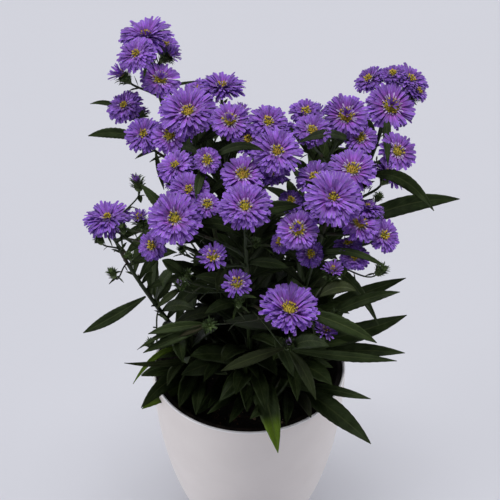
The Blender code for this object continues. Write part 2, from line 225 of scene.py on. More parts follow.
def mottle_group():
    """Soft patches: Mask goes from 0 to 1 where a noise of this Scale passes from Low to High."""
    inputs = [("Place", "Vector"), ("Scale", "Float"), ("Low", "Float"), ("High", "Float")]
    group, start, end = new_group("mottle", inputs, [("Mask", "Float")])
    patches = put(group, "TexNoise", Vector=start.outputs["Place"], Scale=start.outputs["Scale"])
    patches.inputs["Detail"].default_value = 4.0
    mask = rise(group, patches.outputs[0], start.outputs["Low"], start.outputs["High"])
    group.links.new(mask, end.inputs["Mask"])
    return group


MOTTLE = mottle_group()


def placed(tree, group, **inputs):
    """The outputs of a shader group that is placed in a material with these inputs."""
    node = tree.nodes.new("ShaderNodeGroup")
    node.node_tree = group
    for key, value in inputs.items():
        feed(tree, value, node.inputs[key])
    return node.outputs


def mottle(tree, place, scale, low=0.35, high=0.65):
    return placed(tree, MOTTLE, Place=place, Scale=scale, Low=low, High=high)["Mask"]


def cover(tree, shader, colour, roughness):
    feed(tree, colour, shader.inputs["Base Color"])
    feed(tree, roughness, shader.inputs["Roughness"])


def bump(tree, shader, height, depth, strength):
    """Let a height pattern shape the shader's normal. depth is the relief in metres."""
    node = put(tree, "Bump", Height=height, Distance=depth, Strength=strength)
    tree.links.new(node.outputs["Normal"], shader.inputs["Normal"])


def pot_finish():
    finish, tree, shader = new_finish("white_satin_plastic", roughness=0.40, gloss=0.45)
    place = place_coordinates(tree)
    clouds = mottle(tree, place, scale=26.0, low=0.3, high=0.7)
    grain = mottle(tree, place, scale=2600.0, low=0.2, high=0.8)
    marks = mottle(tree, place, scale=330.0, low=0.755, high=0.80)
    height = put(tree, "SeparateXYZ", Vector=place).outputs["Z"]
    # Painted highlight: the top of the rim is painted a brighter white, for the light that it catches from
    # above
    rim = rise(tree, height, POT_HEIGHT - POT_WALL * 0.7, POT_HEIGHT - POT_WALL * 0.3)
    white = tint(tree, POT_WHITE, POT_SHADE, clouds, 0.6)
    white = tint(tree, white, POT_RIM_HIGHLIGHT, rim)
    white = tint(tree, white, POT_MARK, marks, 0.5)
    cover(tree, shader, white, rise(tree, clouds, 0.0, 1.0, 0.36, 0.46))
    bump(tree, shader, grain, depth=0.00002, strength=0.35)
    return finish


def build_pot():
    rim_round = POT_WALL / 2
    shares = [(k / POT_SIDE_STEPS) ** POT_STEPS_CROWDING for k in range(1, POT_SIDE_STEPS)]
    heights = [POT_HEIGHT * share for share in shares]
    outside = [(pot_radius(h), h) for h in heights]
    inside = [(pot_radius(h) - POT_WALL, h) for h in reversed(heights) if h > 2 * POT_FLOOR]
    rim_turns = [math.pi * k / POT_RIM_STEPS for k in range(POT_RIM_STEPS + 1)]
    rim_middle = POT_RIM_RADIUS - rim_round
    rim_base = POT_HEIGHT - rim_round
    rim = [(rim_middle + rim_round * math.cos(a), rim_base + rim_round * math.sin(a)) for a in rim_turns]
    profile = [(0, 0), (pot_radius(0) - POT_FOOT_EDGE, 0), (pot_radius(0), POT_FOOT_EDGE), *outside, *rim]
    profile += [*inside, (pot_radius(POT_FLOOR) - POT_WALL, POT_FLOOR), (0, POT_FLOOR)]
    pot = turned("white_pot", profile, POT_FACETS)
    pot.data.materials.append(pot_finish())
    belongs(pot, "white_plastic", "pot")


build_pot()


# The liner pot is the grower's thin black-brown plastic pot, which the plant is sold in. It hangs inside the
# white one, with its rolled lip just under the rim, and has five drain holes in its floor.
LINER_BELOW_RIM = 0.0012
LINER_RIM_RADIUS = 0.0673
LINER_LIP_WIDTH = 0.0022
LINER_LIP_HEIGHT = 0.005
LINER_FOOT_RADIUS = 0.0315
LINER_WALL = 0.0012
LINER_FACETS = 120
LINER_FLOOR = 0.0028
LINER_ROUND = 0.0004
DRAIN_HOLES = 5
DRAIN_RADIUS = 0.004
DRAIN_CIRCLE = 0.019
DRAIN_FACETS = 24
LINER_MARKS = (40.0, 40.0, 1200.0)
LINER_DARK = (0.007, 0.005, 0.004)
LINER_DUSTY = (0.024, 0.016, 0.011)


def liner_finish():
    finish, tree, shader = new_finish("black_brown_plastic", roughness=0.7, gloss=0.15)
    place = place_coordinates(tree)
    dust = mottle(tree, place, scale=180.0, low=0.45, high=0.8)
    flattened = put(tree, "Mapping", Vector=place, Scale=LINER_MARKS).outputs[0]
    rings = mottle(tree, flattened, scale=1.0, low=0.3, high=0.7)
    cover(tree, shader, tint(tree, LINER_DARK, LINER_DUSTY, dust), rise(tree, dust, 0.0, 1.0, 0.62, 0.8))
    bump(tree, shader, rings, depth=0.00004, strength=0.4)
    return finish


def liner_radius(height):
    """Outer radius of the liner's straight side, under its lip."""
    top = POT_HEIGHT - LINER_BELOW_RIM
    share = (height - LINER_FLOOR) / (top - LINER_FLOOR)
    return LINER_FOOT_RADIUS + (LINER_RIM_RADIUS - LINER_LIP_WIDTH - LINER_FOOT_RADIUS) * share


def build_liner():
    top = POT_HEIGHT - LINER_BELOW_RIM
    under_lip = top - LINER_LIP_HEIGHT
    profile = [
        (0, LINER_FLOOR),
        (LINER_FOOT_RADIUS - LINER_ROUND, LINER_FLOOR),
        (LINER_FOOT_RADIUS, LINER_FLOOR + LINER_ROUND),
        (liner_radius(under_lip), under_lip),
        (LINER_RIM_RADIUS - LINER_ROUND, under_lip),
        (LINER_RIM_RADIUS, under_lip + LINER_ROUND),
        (LINER_RIM_RADIUS, top - LINER_ROUND),
        (LINER_RIM_RADIUS - LINER_ROUND, top),
        (liner_radius(top) - LINER_WALL + LINER_ROUND, top),
        (liner_radius(top) - LINER_WALL, top - LINER_ROUND),
        (LINER_FOOT_RADIUS - LINER_WALL, LINER_FLOOR + LINER_WALL),
        (0, LINER_FLOOR + LINER_WALL),
    ]
    liner = turned("liner_pot_shell", profile, LINER_FACETS)
    for k in range(DRAIN_HOLES):
        turn = 2 * math.pi * k / DRAIN_HOLES
        low = LINER_FLOOR - LINER_WALL
        high = LINER_FLOOR + 2 * LINER_WALL
        rod = [(0, low), (DRAIN_RADIUS, low), (DRAIN_RADIUS, high), (0, high)]
        drill = turned("drill", rod, DRAIN_FACETS)
        drill.location = (DRAIN_CIRCLE * math.cos(turn), DRAIN_CIRCLE * math.sin(turn), 0)
        cut = liner.modifiers.new("drain", "BOOLEAN")
        cut.operation = "DIFFERENCE"
        cut.solver = "EXACT"
        cut.object = drill
        bpy.context.view_layer.update()
        bpy.context.view_layer.objects.active = liner
        bpy.ops.object.modifier_apply(modifier=cut.name)
        bpy.data.objects.remove(drill)
    liner.data.materials.append(liner_finish())
    belongs(liner, "dark_plastic", "liner_pot")


build_liner()


# The soil is moist dark peat, crumbly and a little higher in the middle, with bits of bark, pale grit and
# dry fibres on top. It fills the liner and holds the roots.
SOIL_LIFT = 0.004
SOIL_BELOW_RIM = 0.015
SOIL_RINGS = 52
SOIL_FACETS = 170
SOIL_LUMPS = 0.0021
SOIL_LUMP_SCALE = 150.0
SOIL_GRAIN = 0.0007
SOIL_GRAIN_SCALE = 620.0
SOIL_SIDE_SHARE = 0.99
SOIL_MIDDLE = 0.0003
SOIL_FOOT_MIDDLE = 0.0004
CRUMBS = 620
CRUMB_SIZES = (0.0004, 0.0017)
CRUMB_ROWS = 5
CRUMB_COLUMNS = 6
CRUMB_POLE = 0.05
CRUMB_STRETCH = (0.6, 1.3)
CRUMB_ROUGHNESS = (0.75, 1.25)
FIBRES = 90
FIBRE_LENGTHS = (0.003, 0.009)
FIBRE_WIDTH = 0.00028
FIBRE_PLACES = 6
FIBRE_BEND = 1.6
FIBRE_TONE = 0.8
BARK_TONE = 0.66
GRIT_TONE = 0.93
PEAT_DARK = (0.0050, 0.0040, 0.0032)
PEAT_BROWN = (0.018, 0.011, 0.007)
BARK_ORANGE = (0.070, 0.036, 0.018)
GRIT_PALE = (0.36, 0.30, 0.21)


class Sheets:
    """Many curved sheets that make one mesh.

    A sheet is a grid of places, with rows along it and columns across it, and a closed one is a tube. The
    map called sheet says how far across and along a place is, and the map called tone has two numbers for
    each sheet: one that is given, for its colour, and a chance one."""

    def __init__(self):
        self.count = 0
        self.places = []
        self.faces = []
        self.kinds = []
        self.shares = []
        self.tones = []

    def add(self, grids, chance, kind=0, tone=0.5, closed=False):
        grids = grids.reshape(-1, *grids.shape[-3:])
        sheets, rows, columns = grids.shape[:3]
        width = columns if closed else columns - 1
        row, column = np.meshgrid(np.arange(rows - 1), np.arange(width), indexing="ij")
        corner_row = np.stack([row, row, row + 1, row + 1], -1)
        corner_column = np.stack([column, column + 1, column + 1, column], -1)
        first = self.count + np.arange(sheets)[:, None, None, None] * rows * columns
        faces = first + corner_row * columns + corner_column % columns
        shares = np.stack([corner_column / width, corner_row / (rows - 1)], -1)
        tones = np.stack([np.broadcast_to(tone, sheets), chance.uniform(0, 1, sheets)], -1)
        self.count += sheets * rows * columns
        self.places.append(grids.reshape(-1, 3))
        self.faces.append(faces.reshape(-1, 4))
        self.kinds.append(np.full(faces.size // 4, kind))
        self.shares.append(np.broadcast_to(shares, (*faces.shape, 2)).reshape(-1, 2))
        self.tones.append(np.broadcast_to(tones[:, None, None, None], (*faces.shape, 2)).reshape(-1, 2))

    def build(self, name, *finishes):
        """The mesh object of all the sheets, with a finish for each kind."""
        places = np.concatenate(self.places)
        faces = np.concatenate(self.faces)
        mesh = bpy.data.meshes.new(name)
        mesh.vertices.add(len(places))
        mesh.vertices.foreach_set("co", places.ravel())
        mesh.loops.add(faces.size)
        mesh.loops.foreach_set("vertex_index", faces.ravel())
        mesh.polygons.add(len(faces))
        mesh.polygons.foreach_set("loop_start", np.arange(0, faces.size, 4))
        mesh.polygons.foreach_set("material_index", np.concatenate(self.kinds))
        for finish in finishes:
            mesh.materials.append(finish)
        for title, values in (("sheet", self.shares), ("tone", self.tones)):
            layer = mesh.uv_layers.new(name=title)
            layer.uv.foreach_set("vector", np.concatenate(values).astype(np.float32).ravel())
        mesh.update(calc_edges=True)
        mesh.shade_smooth()
        piece = bpy.data.objects.new(name, mesh)
        bpy.context.scene.collection.objects.link(piece)
        return piece


def chance_for(name):
    """Chance numbers that are the same in every run, and different for each name."""
    return np.random.default_rng(zlib.crc32(name.encode()))


def read_map(tree, name):
    """The two numbers of a mesh map: (across, along) of sheet, or (tone, chance) of tone."""
    node = tree.nodes.new("ShaderNodeUVMap")
    node.uv_map = name
    parts = put(tree, "SeparateXYZ", Vector=node.outputs["UV"])
    return parts.outputs["X"], parts.outputs["Y"]


def peat_finish():
    """Peat, with bark for the sheets of a higher tone and grit for those of the highest."""
    finish, tree, shader = new_finish("moist_peat", roughness=0.9, gloss=0.2)
    place = place_coordinates(tree)
    tone, chance = read_map(tree, "tone")
    patches = mottle(tree, place, scale=420.0, low=0.4, high=0.62)
    grain = mottle(tree, place, scale=1900.0, low=0.3, high=0.7)
    flecks = mottle(tree, place, scale=900.0, low=0.66, high=0.7)
    bark = tint(tree, PEAT_BROWN, BARK_ORANGE, chance)
    grit = tint(tree, BARK_ORANGE, GRIT_PALE, rise(tree, chance, 0.0, 1.0, 0.35, 1.0))
    soil = tint(tree, PEAT_DARK, PEAT_BROWN, patches, grain)
    soil = tint(tree, soil, BARK_ORANGE, flecks, 0.6)
    soil = tint(tree, soil, bark, calc(tree, "GREATER_THAN", tone, BARK_TONE))
    soil = tint(tree, soil, grit, calc(tree, "GREATER_THAN", tone, GRIT_TONE))
    cover(tree, shader, soil, rise(tree, patches, 0.0, 1.0, 0.75, 0.98))
    bump(tree, shader, grain, depth=0.0003, strength=0.8)
    return finish


def soil_height(x, y):
    """The height of the soil's surface: crowned, with lumps and grains."""
    edge = liner_radius(POT_HEIGHT - SOIL_BELOW_RIM)
    crown = SOIL_LIFT * (1 - (x * x + y * y) / edge**2)
    lumps = noise.noise(Vector((x, y, 0)) * SOIL_LUMP_SCALE) * SOIL_LUMPS
    grain = noise.noise(Vector((x, y, 1)) * SOIL_GRAIN_SCALE) * SOIL_GRAIN
    return POT_HEIGHT - SOIL_BELOW_RIM + crown + lumps + grain


def soil_body():
    """The top of the soil as rings of places, with its side and underside."""
    lowest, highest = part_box("soil")
    turns = np.linspace(0, 2 * math.pi, SOIL_FACETS, endpoint=False)
    round_about = np.stack([np.cos(turns), np.sin(turns)], -1)
    bottom = (liner_radius(lowest.z) - LINER_WALL) * SOIL_SIDE_SHARE
    rings = [(SOIL_FOOT_MIDDLE, lowest.z), (bottom, lowest.z)]
    body = [[(*(spot * radius), z) for spot in round_about] for radius, z in rings]
    for share in np.linspace(1, 0, SOIL_RINGS):
        radius = max(highest.x * share, SOIL_MIDDLE)
        body.append([(*(spot * radius), soil_height(*(spot * radius))) for spot in round_about])
    return np.array(body)


def crumb_shapes(chance, sizes):
    """Small rough lumps round the origin, one for each size."""
    polar = np.linspace(CRUMB_POLE, math.pi - CRUMB_POLE, CRUMB_ROWS)[:, None]
    turns = np.linspace(0, 2 * math.pi, CRUMB_COLUMNS, endpoint=False)[None, :]
    x = np.sin(polar) * np.cos(turns)
    y = np.sin(polar) * np.sin(turns)
    ball = np.stack([x, y, np.cos(polar) + 0 * turns], -1)
    stretch = chance.uniform(*CRUMB_STRETCH, (len(sizes), 1, 1, 3))
    rough = chance.uniform(*CRUMB_ROUGHNESS, (len(sizes), CRUMB_ROWS, CRUMB_COLUMNS, 1))
    return ball * stretch * rough * sizes[:, None, None, None]


def soil_spots(chance, count, reach):
    """Chance places on the soil's surface, within a radius."""
    radius = reach * np.sqrt(chance.uniform(0, 1, count))
    turn = chance.uniform(0, 2 * math.pi, count)
    spots = np.stack([radius * np.cos(turn), radius * np.sin(turn)], -1)
    return np.array([(x, y, soil_height(x, y)) for x, y in spots])


def fibre_shapes(chance, spots):
    """Thin curved strips that lie on the soil."""
    along = np.linspace(-0.5, 0.5, FIBRE_PLACES)
    length = chance.uniform(*FIBRE_LENGTHS, len(spots))[:, None]
    turn = chance.uniform(0, 2 * math.pi, len(spots))[:, None]
    turn = turn + along * chance.uniform(-FIBRE_BEND, FIBRE_BEND, (len(spots), 1))
    x = spots[:, :1] + along * length * np.cos(turn)
    y = spots[:, 1:2] + along * length * np.sin(turn)
    rows = []
    for line_x, line_y in zip(x, y):
        lift = [soil_height(px, py) + FIBRE_WIDTH for px, py in zip(line_x, line_y)]
        rows.append(np.stack([line_x, line_y, lift], -1))
    middle = np.array(rows)[:, :, None]
    side = np.stack([-np.sin(turn), np.cos(turn), 0 * turn], -1)[:, :, None]
    return middle + side * np.array((-1, 1))[:, None] * FIBRE_WIDTH


def build_soil():
    chance = chance_for("soil")
    soil = Sheets()
    soil.add(soil_body(), chance, closed=True)
    small, big = CRUMB_SIZES
    sizes = small * (big / small) ** chance.uniform(0, 1, CRUMBS) ** 2
    spots = soil_spots(chance, CRUMBS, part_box("soil")[1].x - big)
    crumbs = spots[:, None, None] + crumb_shapes(chance, sizes)
    soil.add(crumbs, chance, tone=chance.uniform(0, 1, CRUMBS), closed=True)
    spots = soil_spots(chance, FIBRES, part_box("soil")[1].x - FIBRE_LENGTHS[1] / 2)
    soil.add(fibre_shapes(chance, spots), chance, tone=FIBRE_TONE)
    belongs(soil.build("peat_soil", peat_finish()), "peat", "soil")


build_soil()


# Eight green stems grow out of the soil and fork into stalks, each ending in a flower head. They are round
# and firm, grown in one piece with their stalks, so the part's own solids stay and only get a skin.
STEM_GREEN = (0.030, 0.046, 0.013)
STEM_DARK = (0.010, 0.017, 0.006)
STEM_PURPLE = (0.045, 0.022, 0.020)
STEM_ROOT_DEPTH = 0.022
STEM_STRAIGHT = 0.004
STEM_STEPS = 48
STALK_STEPS = 20
FLOWER_PULL = 0.7
CUP_DEPTH = 0.0085
GAP = 0.0003
STEM_FOOT_SLICE = 0.0002
STEM_RIBS = (1600.0, 1600.0, 90.0)

# A CAD head's widest part stands above its middle by PLATE_RISE of its radius less PLATE_DROP
PLATE_RISE = 0.10
PLATE_DROP = 0.0007
WIDEST_SHARE = 0.98

# How far a stem leans to the right as it leaves the soil, for each millimetre of height
FOOT_LEANS = {"stem_8": -0.45}
# Which flower ends each stem, and which stem and share of its height every other CAD flower forks from
TIP_FLOWERS = {
    "stem_1": "flower_01",
    "stem_2": "flower_06",
    "stem_3": "flower_10",
    "stem_4": "flower_15",
    "stem_5": "flower_19",
    "stem_6": "flower_22",
    "stem_7": "flower_26",
    "stem_8": "flower_31",
}
FORKS = {
    "stem_1": {"02": 0.93, "03": 0.74, "04": 0.64, "05": 0.56, "32": 0.48},
    "stem_2": {"07": 0.76, "08": 0.64, "09": 0.54},
    "stem_3": {"11": 0.78, "12": 0.74, "13": 0.64, "14": 0.56, "33": 0.48},
    "stem_4": {"16": 0.72, "17": 0.60, "34": 0.42},
    "stem_5": {"18": 0.74, "20": 0.80, "21": 0.64, "35": 0.54},
    "stem_6": {"23": 0.76, "24": 0.76, "25": 0.58},
    "stem_7": {"27": 0.70, "28": 0.64, "29": 0.52, "30": 0.42},
    "stem_8": {},
}

Head = namedtuple("Head", "middle axis radius")


def stem_finish():
    finish, tree, shader = new_finish("green_stalk_skin", roughness=0.55, gloss=0.25)
    place = place_coordinates(tree)
    drawn_out = put(tree, "Mapping", Vector=place, Scale=STEM_RIBS).outputs[0]
    fine_ribs = mottle(tree, drawn_out, scale=1.0)
    flush = mottle(tree, place, scale=45.0, low=0.52, high=0.75)
    green = tint(tree, STEM_DARK, STEM_GREEN, fine_ribs)
    green = tint(tree, green, STEM_PURPLE, flush)
    cover(tree, shader, green, rise(tree, fine_ribs, 0.0, 1.0, 0.5, 0.62))
    bump(tree, shader, fine_ribs, depth=0.0001, strength=0.5)
    return finish


STEM_SKIN = stem_finish()
for stem in TIP_FLOWERS:
    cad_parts[stem].material_slots[0].material = STEM_SKIN


def node_places(node):
    """The places of a CAD node's mesh points, each once."""
    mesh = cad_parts[node].data
    places = np.zeros(len(mesh.vertices) * 3, np.float32)
    mesh.vertices.foreach_get("co", places)
    return np.unique(places.reshape(-1, 3).astype(float).round(6), axis=0)


def read_head(node):
    """Where a CAD head sits, which way it faces and its radius. It is a turned body, so its axis is the
    one direction along which its points spread unlike the other two."""
    places = node_places(node)
    centre = places.mean(0)
    spread, ways = np.linalg.eigh(np.cov((places - centre).T))
    lone = 0 if spread[1] - spread[0] > spread[2] - spread[1] else 2
    axis = ways[:, lone]
    height = (places - centre) @ axis
    off_axis = np.linalg.norm((places - centre) - height[:, None] * axis, axis=1)
    radius = off_axis.max()
    plate = height[off_axis > radius * WIDEST_SHARE].mean()
    if height.max() - plate > plate - height.min():
        axis, height, plate = -axis, -height, -plate
    return Head(centre + axis * (plate - (PLATE_RISE * radius - PLATE_DROP)), axis, radius)


CAD_HEADS = {name: read_head(name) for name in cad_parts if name.startswith("flower_")}


def head_back(head):
    """Where a stalk's end meets the head's green cup."""
    return head.middle - head.axis * (CUP_DEPTH + GAP)


def hermite(start, start_pull, end, end_pull, steps):
    """Places along the smooth curve that leaves start and reaches end along the two pulls."""
    t = np.linspace(0, 1, steps + 1)[:, None]
    leaving = start * (2 * t**3 - 3 * t**2 + 1) + start_pull * (t**3 - 2 * t**2 + t)
    return leaving + end * (3 * t**2 - 2 * t**3) + end_pull * (t**3 - t**2)


def unit(vector):
    return vector / np.linalg.norm(vector)


def stem_line(stem):
    """The curve of a main stem from just above the soil to the back of its own flower, as in the part."""
    places = node_places(stem)
    foot = places[places[:, 2] < places[:, 2].min() + STEM_FOOT_SLICE].mean(0)
    start = foot + np.array((0, 0, STEM_ROOT_DEPTH + STEM_STRAIGHT))
    head = CAD_HEADS[TIP_FLOWERS[stem]]
    end = head_back(head)
    reach = np.linalg.norm(end - start)
    leaving = unit(np.array((FOOT_LEANS.get(stem, 0), 0, 1))) * reach
    return hermite(start, leaving, end, head.axis * reach * FLOWER_PULL, STEM_STEPS)


def along(line, share):
    """The place and the direction at a share of a line."""
    position = share * (len(line) - 1)
    k = min(int(position), len(line) - 2)
    step = line[k + 1] - line[k]
    return line[k] + step * (position - k), unit(step)


def stalk_line(line, share, head):
    """The curve of a stalk from a line to the back of a head: out at a slant, then up into the cup."""
    start, way = along(line, share)
    end = head_back(head)
    reach = np.linalg.norm(end - start)
    leaving = unit(way + unit(end - start)) * reach
    return hermite(start, leaving, end, head.axis * reach * FLOWER_PULL, STALK_STEPS)


STEM_LINES = {stem: stem_line(stem) for stem in TIP_FLOWERS}
STALK_LINES = {}
for stem, forks in FORKS.items():
    for number, share in forks.items():
        flower = f"flower_{number}"
        STALK_LINES[flower] = stalk_line(STEM_LINES[stem], share, CAD_HEADS[flower])

# Every line that something can grow from, as places with the line's direction there and the stem's name
LINE_STEMS = []
line_places = []
line_ways = []
for stem, line in STEM_LINES.items():
    LINE_STEMS += [stem] * len(line)
    line_places.append(line)
    line_ways.append(np.gradient(line, axis=0))
    for number in FORKS[stem]:
        stalk = STALK_LINES[f"flower_{number}"]
        LINE_STEMS += [stem] * len(stalk)
        line_places.append(stalk)
        line_ways.append(np.gradient(stalk, axis=0))
LINE_PLACES = np.concatenate(line_places)
LINE_WAYS = np.concatenate(line_ways)


# A flower head is a green cup with rings of narrow recurved bracts, 50 to 200 thin purple strap-shaped rays
# in rings round it, and a disc of small yellow tubes. Half-open ones hold their rays up like a brush.
MM = 0.001
USUAL_RADIUS = 0.016

# A ray or a bract is a narrow sheet, given by its half widths along it, its lift across it and how far its
# tip draws back there, which leaves small teeth
RAY_OUTLINE = np.array((0.40, 0.66, 0.90, 1.04, 1.12, 0.90))
RAY_CHANNEL = np.array((0.26, 0.02, 0.10, 0.02, 0.26))
RAY_TIP = np.array((0.42, 0.04, 0.20, 0.04, 0.42))
RAY_SHAPE = (RAY_OUTLINE, RAY_CHANNEL, RAY_TIP)
BRACT_OUTLINE = np.array((0.80, 1.0, 0.90, 0.62, 0.10))
BRACT_CHANNEL = np.array((0.30, 0.0, 0.30))
BRACT_SHAPE = (BRACT_OUTLINE, BRACT_CHANNEL, np.zeros(3))
RAY_WIDTH = 0.135
RAY_CROWDING = 1.25
FEWEST_RAYS = 8

# How unlike each other the sheets of a ring are: RING_WAVES has how many waves there are round the ring and
# how many degrees each lifts it, the other angles are in degrees too, and the rest are shares of a sheet
RING_SHIFT = 0.4
RING_WAVES = ((2, 5), (5, 4))
WAVE_STARTS = 6
SLOPE_CHANCE = 4
BEND_CHANCE = 10
BEND_LATE = 1.2
WIDTH_CHANCE = 0.10
TWIST_FOOT = 7
TWIST_TIP = 18
CHANNEL_DEPTHS = (0.5, 1.3)
DRIFT_CHANCE = 0.04
DRAWN_BACK = (0.4, 1.2)
DRAWN_LATE = 8
LENGTH_CHANCE = 0.055

# A ring of sheets: how many, each one's length and width, how far out and how high it starts, how steeply it
# leaves and how far it bends from there, both in degrees, and by what share the lengths differ. The curls
# are small pale rays over the disc's edge, and the tuft is short rays in its middle. Their foot is a share
# of the disc's radius, and the tuft's length is a share of the head's.
Ring = namedtuple("Ring", "count length width foot height slope bend length_chance")
CURLS = Ring(22, 0.0038, 0.0008, 0.9, 0.0006, 66, -90, 0.25)
TUFT = Ring(0, 0.34, 0.0011, 0.12, 0.0015, 66, -16, 0.2)
TUFT_TONE = 0.35

# The florets of the disc, as pairs of radius and height in millimetres, and the dome they stand on
FLORET_SIDES = 5
OPEN_FLORET = np.array(((0.24, 0), (0.32, 1.0), (0.72, 1.9), (0.30, 1.7), (0.17, 2.7)))
SHUT_FLORET = np.array(((0.26, 0), (0.38, 0.6), (0.36, 1.0), (0.22, 1.3), (0.05, 1.4)))
FLORET_SPACING = 0.00066
FLORETS_PACKED = 0.62
FEWEST_FLORETS = 14
FLORET_SHUT_SHARE = 0.35
FLORET_OPENING_SHARE = 0.2
FLORET_SIZES = (0.8, 1.15)
FLORET_LEANS = (0.3, 0.8)
DISC_FOOT = 0.0004
DISC_RISE = 0.0015
DISC_DOME = np.array(((1.04, -0.5), (1.0, 0.5), (0.72, 1.2), (0.34, 1.8), (0.02, 2.0)))
DISC_DOME_TONE = 0.45
AGE_IN_MIDDLE = 1.5
AGE_CHANCE = (0.1, 0.12)
GOLDEN_TURN = math.pi * (3 - math.sqrt(5))

# The cup's outline is pairs of radius and height in millimetres, and its rings of bracts are pairs of a
# height in millimetres and a share of its radius. Each ring has more, longer and flatter bracts than the
# one below it.
CUP_OUTLINE = np.array(
    ((1.0, -8.5), (1.5, -7.6), (2.4, -6.4), (3.0, -4.6), (3.1, -3.0), (3.4, -1.6), (4.0, -0.6))
)
CUP_WAIST = 0.0031
CUP_RADIUS = 0.0042
CUP_RADIUS_SHARE = 0.5
CUP_SLIMNESS = 0.8
CUP_SIDES = 14
CUP_RINGS = ((-7.4, 0.5), (-6.4, 0.8), (-5.2, 0.98), (-4.0, 1.05), (-2.8, 1.1))
LOWEST_BRACTS = Ring(9, 0.0026, 0.0011, 0, 0, 62, -48, LENGTH_CHANCE)
BRACTS_MORE = 1
BRACTS_LONGER = 0.0006
BRACTS_FLATTER = 4

RAY_TIP_COLOUR = (0.285, 0.120, 0.630)
RAY_COLOUR = (0.370, 0.128, 0.680)
RAY_BASE_COLOUR = (0.520, 0.145, 0.660)
RAY_VIOLET_AND_SHADE = (0.140, 0.055, 0.420)
RAY_SHADOW = (0.080, 0.025, 0.180)
RAY_PALE_AND_HIGHLIGHT = (0.700, 0.580, 0.830)
RAY_SHEEN = 0.15
FLORET_YELLOW = (0.780, 0.580, 0.040)
FLORET_OCHRE = (0.500, 0.300, 0.030)
FLORET_GREEN = (0.260, 0.270, 0.040)
FLORET_BROWN = (0.220, 0.130, 0.030)
BRACT_GREEN = (0.040, 0.072, 0.018)
BRACT_PALE = (0.130, 0.170, 0.060)

# The finishes of a head, in the order that its mesh has them
RAY_FACES = 0
FLORET_FACES = 1
CUP_FACES = 2

# rays: how many at the usual head size. length and foot are shares of the head's radius, and width one of the
# usual ray's. slope: how steeply the rays leave the cup, and bend: how far they turn from there to the tip,
# both in degrees. disc: its share of the radius. tuft: its number of rays. age: how brown the disc is.
Whorl = namedtuple("Whorl", "rays length slope bend width foot")
Style = namedtuple("Style", "disc tuft age whorls")
OPEN = [
    Whorl(36, 0.80, 9, -28, 0.98, 0.20),
    Whorl(36, 0.79, 20, -30, 0.98, 0.19),
    Whorl(32, 0.73, 32, -30, 0.92, 0.18),
    Whorl(24, 0.58, 47, -28, 0.78, 0.18),
    Whorl(14, 0.38, 62, -24, 0.55, 0.20),
]
BOWL = [
    Whorl(36, 0.78, 20, -24, 0.98, 0.20),
    Whorl(36, 0.77, 30, -26, 0.98, 0.19),
    Whorl(32, 0.70, 42, -26, 0.92, 0.18),
    Whorl(24, 0.54, 54, -26, 0.78, 0.18),
    Whorl(14, 0.36, 66, -24, 0.55, 0.20),
]
DOME = [
    Whorl(34, 0.81, 2, -28, 0.92, 0.18),
    Whorl(34, 0.81, 14, -32, 0.92, 0.17),
    Whorl(32, 0.78, 26, -36, 0.88, 0.16),
    Whorl(28, 0.72, 38, -36, 0.80, 0.14),
    Whorl(20, 0.54, 54, -34, 0.68, 0.12),
    Whorl(10, 0.34, 70, -30, 0.50, 0.10),
]
DAISY = [
    Whorl(28, 0.76, 8, -20, 1.10, 0.24),
    Whorl(28, 0.73, 20, -24, 1.05, 0.24),
    Whorl(18, 0.57, 35, -26, 0.85, 0.26),
]
TUFTED = [
    Whorl(34, 0.76, 8, -22, 1.04, 0.24),
    Whorl(32, 0.73, 20, -24, 1.00, 0.24),
    Whorl(20, 0.57, 33, -24, 0.80, 0.26),
]
BRUSH = [
    Whorl(24, 1.15, 40, -18, 0.75, 0.16),
    Whorl(24, 1.15, 54, -14, 0.70, 0.14),
    Whorl(20, 1.05, 68, -10, 0.65, 0.10),
]
YOUNG = [
    Whorl(20, 0.84, 14, -6, 0.90, 0.24),
    Whorl(18, 0.76, 30, -6, 0.85, 0.24),
    Whorl(12, 0.56, 50, -6, 0.70, 0.22),
]
STYLES = {
    "open": Style(0.175, 0, 0.35, OPEN),
    "bowl": Style(0.225, 0, 0.2, BOWL),
    "dome": Style(0.135, 0, 0.5, DOME),
    "daisy": Style(0.245, 0, 0.6, DAISY),
    "tuft": Style(0.275, 16, 0.5, TUFTED),
    "brush": Style(0.20, 10, 0.6, BRUSH),
    "young": Style(0.32, 4, 0.75, YOUNG),
}
HEAD_STYLES = {
    "dome": (1, 2, 4, 5, 8, 9, 22, 31, 33),
    "open": (6, 10, 12, 13, 16, 19, 20, 25, 26, 27, 32, 35),
    "bowl": (30,),
    "daisy": (7, 14, 17, 21, 34),
    "tuft": (3, 11, 15, 18, 23, 24),
    "young": (28, 29),
}

# The tone of a head's rays is 0 for violet and 1 for pink. These differ from the usual tone; the lowest, 0.1
# for heads 28 and 29, paints the deep shade they sit in as a darker violet.
USUAL_TONE = 0.55
HEAD_TONES = {0.9: (6, 18, 22, 26, 27, 30), 0.3: (4, 5, 10, 19, 20, 31), 0.1: (28, 29)}
TONE_OF_HEAD = {number: tone for tone, numbers in HEAD_TONES.items() for number in numbers}
TONE_CHANCE = 0.16
TONE_MOST = 0.9
CURL_TONE = 1.0
# Where an axis points further to a side than this, the view's upward direction stands in for its right one
FAR_RIGHT = 0.9


